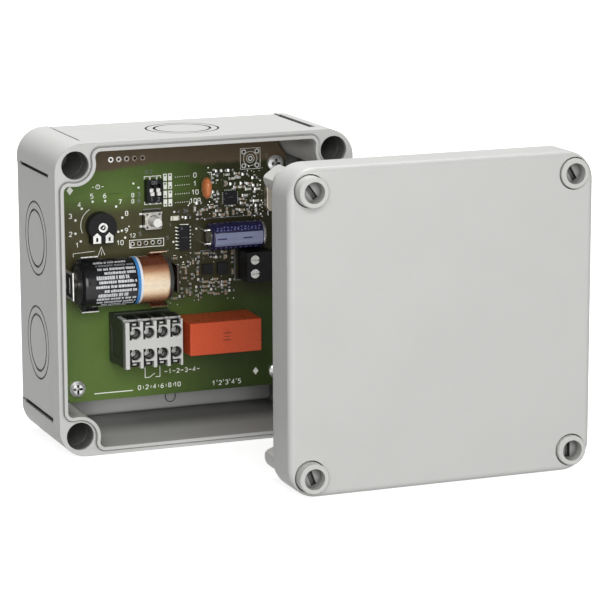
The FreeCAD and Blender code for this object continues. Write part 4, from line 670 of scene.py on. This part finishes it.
# switch outline, its four settings and their plain numbers
for z, s in ((36.6, -1), (26.5, 1)):
    ink.strip([(-11.6, z + s * 1.1), (-11.6, z), (-5.4, z), (-5.4, z + s * 0.8)], 0.3, Y0, Y1)
ring(ink, -10.7, 38.3, 0.55, 0.2, Y0, Y1, 1)
write(ink, "2", -9.0, 38.3, 1.2, Y0, Y1, 0.2, mat=1)
ROWS = [(37.2, 34.65, (1, 1), "0"), (34.15, 31.6, (1, 0), "1"), (31.0, 28.45, (0, 1), "10"), (27.9, 25.3, (0, 0), "100")]
for top, low, dots, text in ROWS:
    for x0, x1, up in ((-4.45, -3.06, dots[0]), (-2.58, -1.15, dots[1])):
        mid = (top + low) / 2
        a, b = (mid, top) if up else (low, mid)
        # a white field with a square hole at one end
        hx0, hx1, hz0, hz1 = x0 + 0.38, x1 - 0.38, a + 0.34, b - 0.36
        ink.prism(rect(x0, low, hx0, top), Y0, Y1)
        ink.prism(rect(hx1, low, x1, top), Y0, Y1)
        ink.prism(rect(hx0, low, hx1, hz0), Y0, Y1)
        ink.prism(rect(hx0, hz1, hx1, top), Y0, Y1)
    z = (top + low) / 2
    for k in range(7):
        ink.prism(disc(0.2 + 0.85 * k, z - 0.2 + 0.02 * k, 0.17, 8), Y0, Y1)
    write(ink, text, 7.6, z + 0.1, 1.6, Y0, Y1, 0.26)

# header, learn button, light and chip outlines
ink.strip([(-17.5, 11.1), (-4.6, 11.1), (-4.6, 13.85), (-17.5, 13.85)], 0.24, Y0, Y1, closed=True)
ink.prism([(-17.35, 11.25), (-16.6, 11.25), (-17.35, 12.0)], Y0, Y1)
ink.strip([(-12.2, 24.75), (-5.5, 24.75)], 0.3, Y0, Y1, 1)
write(ink, "12", -16.3, 15.6, 1.3, Y0, Y1, 0.22)
write(ink, "5", -13.5, 16.0, 1.3, Y0, Y1, 0.22, mat=1)
write(ink, "5", -3.1, 13.9, 1.1, Y0, Y1, 0.2, mat=1)
ink.prism(disc(2.7, 21.0, 0.42), Y0, Y1)
ink.prism(disc(-0.4, 23.1, 0.38), Y0, Y1)
write(ink, "4", 1.2, 23.1, 1.1, Y0, Y1, 0.2, mat=1)
write(ink, "36", 3.9, 23.3, 1.2, Y0, Y1, 0.2, mat=1)
write(ink, "1", -2.0, 18.4, 1.1, Y0, Y1, 0.2, mat=1)
ink.strip([(1.6, 18.35), (5.0, 18.25)], 0.26, Y0, Y1)
for x, z, r in [(-15.7, 34.4, 0.42), (-13.8, 32.8, 0.42), (-0.9, 12.2, 0.4), (7.9, 16.4, 0.36), (-17.6, 19.0, 0.3)]:
    ink.prism(disc(x, z, r), Y0, Y1)
for x, z, t in [(-16.0, 30.2, "8"), (-16.0, 28.0, "8"), (-13.7, 30.4, "3"), (-13.7, 28.2, "6")]:
    write(ink, t, x, z, 1.35, Y0, Y1, 0.24, mat=0 if t == "8" else 1)

# battery outline and its pointer
ink.strip([(-38.6, 9.2), (-38.6, 10.5), (-30.6, 10.9)], 0.2, Y0, Y1)
ink.strip([(-29.3, 9.2), (-28.07, 12.2), (-26.8, 9.2)], 0.22, Y0, Y1)
ink.strip([(-28.07, 9.2), (-28.07, 10.6)], 0.18, Y0, Y1)

# capacitor bracket, buffer outline
ink.strip([(12.4, 36.6), (13.9, 36.6), (13.9, 27.6), (12.4, 27.6)], 0.3, Y0, Y1)
ink.strip([(9.3, 19.9), (33.0, 19.9)], 0.2, Y0, Y1, 1)
ink.strip([(9.3, 8.1), (33.0, 8.1)], 0.2, Y0, Y1, 1)
ink.strip([(22.6, 9.0), (22.6, -3.6), (34.6, -3.6)], 0.22, Y0, Y1, 1)

# aerial field
ink.strip(rect(25.1, 37.0, 32.7, 44.6), 0.16, Y0, Y1, closed=True)
for r in (1.5, 2.6):
    ring(ink, 28.9, 40.8, r, 0.16, Y0, Y1, n=28)
write(ink, "7", 35.0, 41.4, 1.3, Y0, Y1, 0.2, mat=1)

# below the terminals: a make contact, a length to strip with its scale
ink.strip([(-12.35, -33.1), (-12.35, -37.0), (-10.6, -37.0)], 0.28, Y0, Y1)
ink.strip([(-10.6, -37.0), (-8.7, -35.6)], 0.26, Y0 - 0.004, Y1)
ink.strip([(-8.4, -37.0), (-6.7, -37.0), (-6.7, -33.1)], 0.28, Y0, Y1)
ink.strip([(-31.7, -41.3), (-17.1, -41.3)], 0.34, Y0, Y1)
for k in range(5):
    write(ink, "-", -4.4 + 3.1 * k, -35.4, 1.7, Y0, Y1, 0.3)
    if k < 4:
        write(ink, str(k + 1), -2.85 + 3.1 * k, -35.4, 1.5, Y0, Y1, 0.26)
for k in range(6):
    write(ink, str(2 * k) if k < 5 else "10", -14.6 + 2.9 * k, -40.5, 1.5, Y0, Y1, 0.26)
for k in range(5):
    ink.strip([(-13.1 + 2.9 * k, -41.0), (-13.1 + 2.9 * k, -40.0)], 0.2, Y0, Y1)
for k in range(5):
    write(ink, str(k + 1), 14.0 + 2.5 * k, -41.4, 1.6, Y0, Y1, 0.26)
    if k < 4:
        ink.strip([(15.25 + 2.5 * k, -41.0), (15.25 + 2.5 * k, -40.2)], 0.2, Y0, Y1)
for cx, cz, k in ((-39.4, 33.3, 0.95), (30.4, -38.2, 0.85)):
    lozenge = [(0.0, 1.7), (-1.3, 0.0), (0.0, -1.7), (1.3, 0.0)]
    ink.prism([(cx + px * k, cz + pz * k) for px, pz in lozenge], Y0, Y1)

# ------------------------------------------------------------------ small soldered parts
small = {"resistor": loose("chip_resistors"), "capacitor": loose("chip_capacitors")}
solder = Piece("chip_solder", ["solder", "solder_dull"], "base", "solder", smooth=40)
for kind, mats in (("resistor", ["resistor_black", "solder", "ceramic_white", "solder_dull"]), ("capacitor", ["capacitor_tan", "solder", "ceramic_white", "solder_dull"])):
    part = Piece("chip_%s_set" % kind, mats, "base", "resistor_black" if kind == "resistor" else "capacitor_tan", replaces=("chip_%ss" % kind,))
    for i, (lo, hi) in enumerate(small[kind]):
        dx, dz = hi[0] - lo[0], hi[2] - lo[2]
        along_x = dx >= dz
        long, wide = (dx, dz) if along_x else (dz, dx)
        cx, cz = (lo[0] + hi[0]) / 2, (lo[2] + hi[2]) / 2
        high = hi[1] - lo[1]
        cap = long * 0.24

        def place(a0, a1, b0, b1, y0, y1, mat, soft, who=None):
            who = who or part
            if along_x:
                who.box(cx + a0, cx + a1, y0, y1, cz + b0, cz + b1, mat, soft)
            else:
                who.box(cx + b0, cx + b1, y0, y1, cz + a0, cz + a1, mat, soft)

        w = wide / 2
        low_field = cz < 12
        body_mat = 0 if low_field or rnd.random() < 0.86 else 2
        place(-long / 2 + cap, long / 2 - cap, -w + 0.03, w - 0.03, lo[1] + 0.02, hi[1], body_mat, 0.04)
        for s in (-1, 1):
            a = sorted((s * long / 2, s * (long / 2 - cap)))
            place(a[0], a[1], -w, w, lo[1], hi[1], 3 if low_field else 1, 0.06)
            # the solder at each end, low outside and climbing up the cap
            out = long / 2 + 0.42
            b = sorted((s * out, s * (long / 2 + 0.003)))
            tall = high * 0.55
            if along_x:
                q = [(cx + s * (long / 2 + 0.003), -tall), (cx + s * out, -0.06)]
                vs = []
                for zz in (cz - w - 0.08, cz + w + 0.08):
                    vs.append([solder.bm.verts.new((x, y, zz)) for x, y in ((q[0][0], FACE + 0.01), (q[0][0], FACE + q[0][1]), ((q[0][0] + q[1][0]) / 2, FACE - 0.2), (q[1][0], FACE + q[1][1]), (q[1][0], FACE + 0.01))])
            else:
                q = [(cz + s * (long / 2 + 0.003), -tall), (cz + s * out, -0.06)]
                vs = []
                for xx in (cx - w - 0.08, cx + w + 0.08):
                    vs.append([solder.bm.verts.new((xx, y, z)) for z, y in ((q[0][0], FACE + 0.01), (q[0][0], FACE + q[0][1]), ((q[0][0] + q[1][0]) / 2, FACE - 0.2), (q[1][0], FACE + q[1][1]), (q[1][0], FACE + 0.01))])
            dimmed = 1 if cz < 12 else 0
            solder.face(vs[0], dimmed)
            solder.face(vs[1][::-1], dimmed)
            for k in range(5):
                j = (k + 1) % 5
                solder.face((vs[0][j], vs[0][k], vs[1][k], vs[1][j]), dimmed)
        # a printed mark beside some of them
        roll = rnd.random()
        if roll < 0.45:
            side = 1 if rnd.random() < 0.5 else -1
            if along_x:
                z = cz + side * (w + 0.5)
                ink.strip([(cx - long * 0.35, z), (cx + long * 0.35, z)], 0.2, Y0, Y1, 0 if roll < 0.25 else 1)
            else:
                x = cx + side * (w + 0.5)
                ink.strip([(x, cz - long * 0.35), (x, cz + long * 0.35)], 0.2, Y0, Y1, 0 if roll < 0.25 else 1)
    part.done()
for k in range(7):
    u = -1.95 + 0.65 * k
    for s in (-1, 1):
        solder.box(*sorted((20.9 + s * 2.53, 20.9 + s * 3.05)), FACE - 0.16, FACE + 0.01, 26.95 + u - 0.16, 26.95 + u + 0.16, 0, 0.04)
        solder.box(20.9 + u - 0.16, 20.9 + u + 0.16, FACE - 0.16, FACE + 0.01, *sorted((26.95 + s * 2.53, 26.95 + s * 3.05)), 0, 0.04)
ink.done()

# vias and test points: small round tinned spots, more in the busy fields
taken = [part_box(n) for n in NODES if n not in ("base_shell", "lid_shell", "circuit_board", "solder_pads", "chip_resistors", "chip_capacitors", "board_screws", "lid_seal") and not n.startswith("cover_screw")]
taken = [(lo[0] * 1000, hi[0] * 1000, lo[2] * 1000, hi[2] * 1000) for lo, hi in taken]
spots = Piece("board_vias", ["solder", "solder_dull"], "base", "solder", smooth=30)
used = [((lo[0] + hi[0]) / 2, (lo[2] + hi[2]) / 2, max(hi[0] - lo[0], hi[2] - lo[2]) / 2 + 0.45) for kind in small for lo, hi in small[kind]]
for count, x0, x1, z0, z1 in ((46, 12.5, 34.0, 17.0, 38.5), (30, -4.0, 22.0, -11.0, 10.5), (6, 4.0, 12.0, 14.0, 26.0)):
    for _ in range(count * 4):
        if count <= 0:
            break
        x, z, r = rnd.uniform(x0, x1), rnd.uniform(z0, z1), rnd.choice((0.18, 0.22, 0.28, 0.36))
        if any(a - r < x < b + r and c - r < z < d + r for a, b, c, d in taken):
            continue
        if any(math.hypot(x - u, z - v) < r + w for u, v, w in used):
            continue
        used.append((x, z, r + 0.2))
        d = 1 if z < 12 and rnd.random() < 0.7 else 0
        spots.lathe("y", (x, FACE, z), [(-0.10, 0, d), (-0.10, r * 0.45, d), (-0.05, r * 0.85, d), (0.01, r, d), (0.01, 0, d)], n=12)
        count -= 1
spots.done()
solder.done()

# tracks under the mask, as faint raised lines
tracks = Piece("board_tracks", ["board_green"], "base", "board_green")
for _ in range(46):
    x, z = rnd.uniform(-38, 30), rnd.uniform(-40, 36)
    pts = [(x, z)]
    way = rnd.choice(((1, 0), (0, 1), (0, -1), (-1, 0)))
    for _ in range(rnd.choice((2, 3))):
        run = rnd.uniform(2.0, 9.0)
        x = min(38.0, max(-41.0, x + way[0] * run))
        z = min(38.0, max(-43.0, z + way[1] * run))
        if math.hypot(x - pts[-1][0], z - pts[-1][1]) > 0.8:
            pts.append((x, z))
        bend = rnd.choice((-1, 1))
        way = (way[0] * 0.707 - bend * way[1] * 0.707, way[1] * 0.707 + bend * way[0] * 0.707)
    if len(pts) > 1:
        tracks.strip(pts, rnd.choice((0.25, 0.3, 0.5)), FACE - 0.012 - 0.0002 * _, FACE + 0.01)
tracks.done()

# ------------------------------------------------------------------ battery
CELL = (-22.75, 1.2)
cell = Piece("battery_wrap", ["label_black", "band_blue", "band_white", "label_copper", "cell_end", "steel_zinc"], "battery", "cell_can", replaces=("battery_cell",), smooth=35)
cell.lathe(
    "x",
    (-40.3, CELL[0], CELL[1]),
    [
        (0.0, 0.0, 4), (0.0, 3.2, 4), (0.12, 3.4, 4), (0.12, 6.0, 4), (0.25, 6.3, 4), (0.25, 6.9, 0), (0.1, 7.3, 0), (0.35, 7.9, 0), (0.75, 8.3, 0), (1.3, 8.46, 0),
        (1.9, 8.5, 0), (10.0, 8.5, 0), (20.2, 8.5, 1), (21.3, 8.5, 2), (22.2, 8.5, 3), (27.0, 8.5, 3), (31.0, 8.5, 3), (31.5, 8.44, 3), (32.0, 8.2, 3),
        (32.3, 7.9, 4), (32.6, 7.7, 4), (33.3, 7.6, 4), (33.9, 7.3, 4), (34.1, 6.8, 4), (34.1, 3.5, 5), (34.6, 3.2, 5), (34.95, 2.9, 5), (35.0, 2.4, 5), (35.0, 0.0, 5),
    ],
    n=128,
)
cell.done()
bars = Piece("battery_bars", ["ink_grey", "ink_dim"], "battery", "white_plastic")
for row in range(13):
    ang = math.radians(-66 + 11.0 * row)
    x = (-33.4 if row % 4 == 1 else -35.9) + rnd.uniform(0, 1.4)
    stop = -20.4 - (3.0 if row % 4 == 0 else 0.3)
    tall = 0.082 if row in (4, 8) else 0.060
    while x < stop - 0.3:
        run = rnd.uniform(0.4, 1.1)
        bars.patch(CELL, x, min(x + run, stop), 8.5, ang - tall, ang + tall * rnd.uniform(0.7, 1.0), 0.02, 1 if row == 11 else 0, n=3)
        x += run + (0.14 if rnd.random() < 0.8 else 0.5)
bars.done()

# the left clip's end plate: a frame round an opening, with a black sheet in it as painted shade
lo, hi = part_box("battery_clip_minus")
px = lo[0] * 1000
frame_piece = Piece("clip_plate_shade", ["black_plastic", "steel_zinc"], "base", "spring_steel")
frame_piece.box(px - 0.04, px - 0.005, -26.2, -19.6, -2.9, 5.2, 0)
frame_piece.box(px - 0.16, px - 0.04, -24.2, -23.5, -1.6, 4.0, 1, 0.03)
frame_piece.done()

# ------------------------------------------------------------------ buffer capacitor
lo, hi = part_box("buffer_capacitor_sleeve")
bx0, bx1 = lo[0] * 1000, hi[0] * 1000
by, bz = (lo[1] + hi[1]) * 500, (lo[2] + hi[2]) * 500
br = (hi[2] - lo[2]) * 500
long = bx1 - bx0
sleeve = Piece("buffer_skin", ["sleeve_blue", "can_aluminium"], "base", "sleeve_blue", replaces=("buffer_capacitor_sleeve",), smooth=40)
sleeve.lathe(
    "x",
    (bx0, by, bz),
    [
        (0.1, 3.6, 0), (0.0, 4.0, 0), (0.05, 4.4, 0), (0.3, br - 0.25, 0), (0.8, br, 0), (1.5, br, 0), (1.9, br - 0.16, 0), (2.3, br - 0.16, 0),
        (2.7, br, 0), (10.0, br, 0), (long - 1.6, br, 0), (long - 1.3, br - 0.04, 0), (long - 1.25, br - 0.1, 1), (long - 0.7, br - 0.12, 1), (long - 0.3, br - 0.35, 1), (long - 0.06, br - 0.75, 1),
        (long, br - 1.0, 1), (long - 0.1, br - 1.05, 1), (long - 0.45, br - 0.75, 0), (long - 1.0, br - 0.3, 0), (3.4, br - 0.3, 0), (0.9, br - 0.35, 0), (0.35, 3.6, 0), (0.1, 3.6, 0),
    ],
    n=112,
)
bmesh.ops.remove_doubles(sleeve.bm, verts=sleeve.bm.verts, dist=1e-5)
sleeve.done()
band = Piece("buffer_stripe", ["stripe_lilac", "dash_navy", "sleeve_print", "can_aluminium"], "base", "sleeve_blue", smooth=40)
band.patch((by, bz), bx0 + 0.9, bx1 - 1.7, br, math.radians(-38), math.radians(21), 0.03, 0, n=20)
for x in (bx0 + 1.6, bx0 + 11.4):
    band.patch((by, bz), x, x + 3.6, br + 0.03, math.radians(-6), math.radians(0), 0.02, 1, n=4)
for k in range(13):
    x = bx0 + 1.6 + 1.32 * k
    for q in range(2):
        a = math.radians(31 + 11 * q + rnd.uniform(-2, 2))
        band.patch((by, bz), x + 0.3 * q, x + 0.3 * q + rnd.uniform(0.35, 0.8), br, a, a + math.radians(rnd.uniform(4, 8)), 0.02, 2, n=3)
for k in range(9):
    x = bx0 + 1.2 + 1.9 * k
    band.patch((by, bz), x, x + rnd.uniform(0.4, 1.0), br, math.radians(-52), math.radians(-46), 0.02, 2, n=3)
band.done()

# ------------------------------------------------------------------ ceramic capacitor, a lens dipped in resin
lo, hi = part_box("ceramic_capacitor")
lo, hi = [v * 1000 for v in lo], [v * 1000 for v in hi]
half = (hi[0] - lo[0]) / 2
ry, rz = (hi[1] - lo[1]) / 2, (hi[2] - lo[2]) / 2
lens = Piece("ceramic_lens", ["dipped_orange"], "base", "dipped_orange", replaces=("ceramic_capacitor",), smooth=60)
profile = []
for k in range(25):
    t = -1 + 2 * k / 24
    profile.append((half * math.sin(t * math.pi / 2), max(0.0, math.cos(t * math.pi / 2)) ** 0.8 * rz, 0))
profile[0], profile[-1] = (-half, 0.0, 0), (half, 0.0, 0)
lens.lathe("x", (0, 0, 0), profile, n=64)
for v in lens.bm.verts:
    dip = 1 + 0.03 * math.sin(3 * math.atan2(v.co.z, v.co.y) + 0.6)
    v.co = Vector(((lo[0] + hi[0]) / 2 + v.co.x * 0.74, (lo[1] + hi[1]) / 2 + v.co.y * ry / rz * 0.76 * min(1.0, dip * 0.97), (lo[2] + hi[2]) / 2 + v.co.z * min(1.0, dip * 0.97)))
lens.done()

# ------------------------------------------------------------------ print on the parts
marks = Piece("part_print", ["ink_dim", "relay_ink", "ink_grey", "key_dark"], "base", "white_plastic")
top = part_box("learn_button_cover")[0][1] * 1000
for dx in (-2.35, 2.35):
    for dz in (-2.35, 2.35):
        marks.prism(disc(-9.5 + dx, 21.0 + dz, 0.42, 12), top - 0.02, top + 0.02, 3)
ring(marks, -9.5, 21.0, 2.0, 0.16, top - 0.012, top + 0.02, 3, n=28)
lo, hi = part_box("status_light")
top = lo[1] * 1000
marks.strip([(lo[0] * 1000 + 0.55, lo[2] * 1000 + 0.1), (lo[0] * 1000 + 0.55, hi[2] * 1000 - 0.1)], 0.16, top - 0.012, top + 0.02, 3)
marks.strip([(hi[0] * 1000 - 0.55, lo[2] * 1000 + 0.1), (hi[0] * 1000 - 0.55, hi[2] * 1000 - 0.1)], 0.16, top - 0.012, top + 0.02, 3)
lo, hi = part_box("timer_switch_housing")
top = lo[1] * 1000
for k, t in ((-1, "1"), (1, "2")):
    write(marks, t, -8.75 + k * 1.27, 28.75, 1.25, top - 0.012, top + 0.01, 0.2)
write(marks, "ON", -9.0, 34.75, 1.15, top - 0.012, top + 0.01, 0.2)
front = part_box("relay_cover")[0][1] * 1000
for x, z, w in ((13.7, -19.4, 1.6), (13.7, -20.7, 1.1), (13.7, -22.0, 1.6)):
    marks.strip([(x - w, z), (x + w, z)], 0.22, front - 0.012, front + 0.02, 1)
lo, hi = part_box("logic_chip")
top = lo[1] * 1000
ring(marks, 1.75, 17.1, 0.32, 0.14, top - 0.01, top + 0.01, 0)
for k in range(4):
    marks.strip([(1.85 + 0.55 * k, 13.8), (2.15 + 0.55 * k, 13.8)], 0.12, top - 0.01, top + 0.01)
lo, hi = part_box("radio_chip")
top = lo[1] * 1000
marks.prism(disc(19.2, 28.7, 0.22, 10), top - 0.01, top + 0.01, 0)
for k in range(3):
    marks.strip([(20.0 + 0.7 * k, 27.3), (20.4 + 0.7 * k, 27.3)], 0.12, top - 0.01, top + 0.01)
marks.done()

lo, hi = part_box("timer_dial_rotor")
top = lo[1] * 1000
# a black disc in the rotor's pit, as painted shade
pit = Piece("dial_rotor_pit", ["chip_black"], "dial", "black_plastic", smooth=40)
pit.lathe("y", (-28.8, top, 20.05), [(-0.01, 0, 0), (-0.012, 0.8, 0), (-0.005, 0.92, 0), (0.05, 0.95, 0), (0.05, 0, 0)], n=28)
pit.done()
point = Piece("dial_rotor_point", ["steel_zinc"], "dial", "steel_zinc")
point.prism([(-29.2, 19.75), (-28.7, 19.65), (-28.2, 20.6), (-28.75, 20.4)], top - 0.03, top - 0.005)
point.done()

# ------------------------------------------------------------------ mains terminal: levers, black blocks as painted shade in the slots and on top, wells lined in black as painted shade
levers_and_shade = Piece("terminal_levers_and_shade", ["black_plastic", "terminal_grey", "terminal_dark"], "base", "terminal_dark")
wells = Piece("terminal_wells", ["black_plastic", "spring_steel"], "base", "black_plastic", smooth=40)
MF = -31.0
for i in range(4):
    x = -21.4 + 5.08 * i
    for z, way in ((-16.7, 1), (-24.4, -1)):
        z0, z1 = (z + 2.55, -12.75) if way > 0 else (-28.9, z - 2.55)
        # black block in the slot: painted shade
        levers_and_shade.box(x - 2.2, x + 1.5, MF + 1.5, MF + 3.38, z0, z1, 0, 0.3)
        levers_and_shade.box(x - 0.9, x + 0.5, MF + 0.9, MF + 1.5, (z0 + z1) / 2 - 0.3, (z0 + z1) / 2 + 0.3, 1, 0.15)
        # round entry lined in black as painted shade, the spring at its bottom
        wells.lathe(
            "y",
            (x, MF, z),
            [(0.75, 1.88, 0), (0.7, 1.78, 0), (1.2, 1.7, 0), (4.4, 1.5, 0), (4.6, 1.3, 1), (4.5, 0.0, 1)],
            n=40,
        )
        wells.lathe("y", (x, MF, z), [(0.75, 1.88, 0), (8.0, 1.88, 0), (8.0, 0.0, 0)], n=40)
bmesh.ops.remove_doubles(wells.bm, verts=wells.bm.verts, dist=1e-5)
lo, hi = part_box("mains_terminal_front")
tz = hi[2] * 1000
for i in range(4):
    x = -21.4 + 5.08 * i
    # black blocks on the top face: painted shade
    levers_and_shade.box(x - 2.3, x + 1.6, -28.5, -21.6, tz - 0.02, tz + 0.12, 0)
    levers_and_shade.box(x + 1.75, x + 2.6, -28.3, -21.6, tz - 0.02, tz + 0.08, 2)
levers_and_shade.done()
wells.done()

# ------------------------------------------------------------------ camera
CAM_AT = Vector((-0.33058, -0.97680, 0.19706))
YAW, PITCH, ROLL = math.radians(21.569), math.radians(11.583), math.radians(-0.203)
fwd = Vector((math.sin(YAW) * math.cos(PITCH), math.cos(YAW) * math.cos(PITCH), -math.sin(PITCH)))
right = Vector((math.cos(YAW), -math.sin(YAW), 0))
up = right.cross(fwd)
r2 = right * math.cos(ROLL) + up * math.sin(ROLL)
u2 = up * math.cos(ROLL) - right * math.sin(ROLL)
cam_data = bpy.data.cameras.new("camera")
cam_data.sensor_width = 36.0
cam_data.lens = 2867.5 / 611.0 * 36.0
cam_data.clip_start = 0.05
cam_data.clip_end = 20.0
cam = bpy.data.objects.new("camera", cam_data)
coll.objects.link(cam)
rot = Matrix((r2, u2, -fwd)).transposed().to_4x4()
cam.matrix_world = Matrix.Translation(CAM_AT) @ rot
scene.camera = cam

# ------------------------------------------------------------------ light and floor
floor_mesh = bpy.data.meshes.new("floor")
S = 8.0
floor_mesh.from_pydata([(-S, -S, -0.05502), (S, -S, -0.05502), (S, S, -0.05502), (-S, S, -0.05502)], [], [(0, 1, 2, 3)])
floor = bpy.data.objects.new("floor", floor_mesh)
coll.objects.link(floor)
fm = Mat("floor_paper")
fm.to(fm.ramp(fm.noise(3.0, 2.0), [(0.3, (0.56, 0.56, 0.56)), (0.7, (0.58, 0.58, 0.58))]), "Base Color")
fm.set(Roughness=0.9, Specular_IOR_Level=0.1, Emission_Color=(1.0, 1.0, 1.0, 1.0), Emission_Strength=0.78)
floor.data.materials.append(fm.m)
floor.visible_diffuse = False

world = bpy.data.worlds.new("world")
scene.world = world
world.use_nodes = True
bg = world.node_tree.nodes["Background"]
bg.inputs[0].default_value = (1, 1, 1, 1)
bg.inputs[1].default_value = 0.27


def area(name, way, dist, size, level, look=(0.03, -0.06, 0.0), colour=(1, 1, 1)):
    """A soft box in the direction way; level is the light it gives a white
    surface that faces it, with 1 as full white."""
    data = bpy.data.lights.new(name, "AREA")
    data.shape = "RECTANGLE"
    data.size, data.size_y = size
    data.energy = level * math.pi**2 * dist**2
    data.color = colour
    obj = bpy.data.objects.new(name, data)
    coll.objects.link(obj)
    d = Vector(way).normalized()
    obj.matrix_world = Matrix.Translation(Vector(look) + d * dist) @ d.to_track_quat("Z", "Y").to_matrix().to_4x4()
    return obj


area("front", (-0.22, -0.95, 0.30), 1.12, (0.72, 0.72), 0.85)
area("top", (0.05, 0.5, 0.866), 1.5, (0.8, 0.6), 1.02)

scene.view_settings.view_transform = "Standard"
scene.view_settings.look = "None"
scene.view_settings.exposure = 0.0
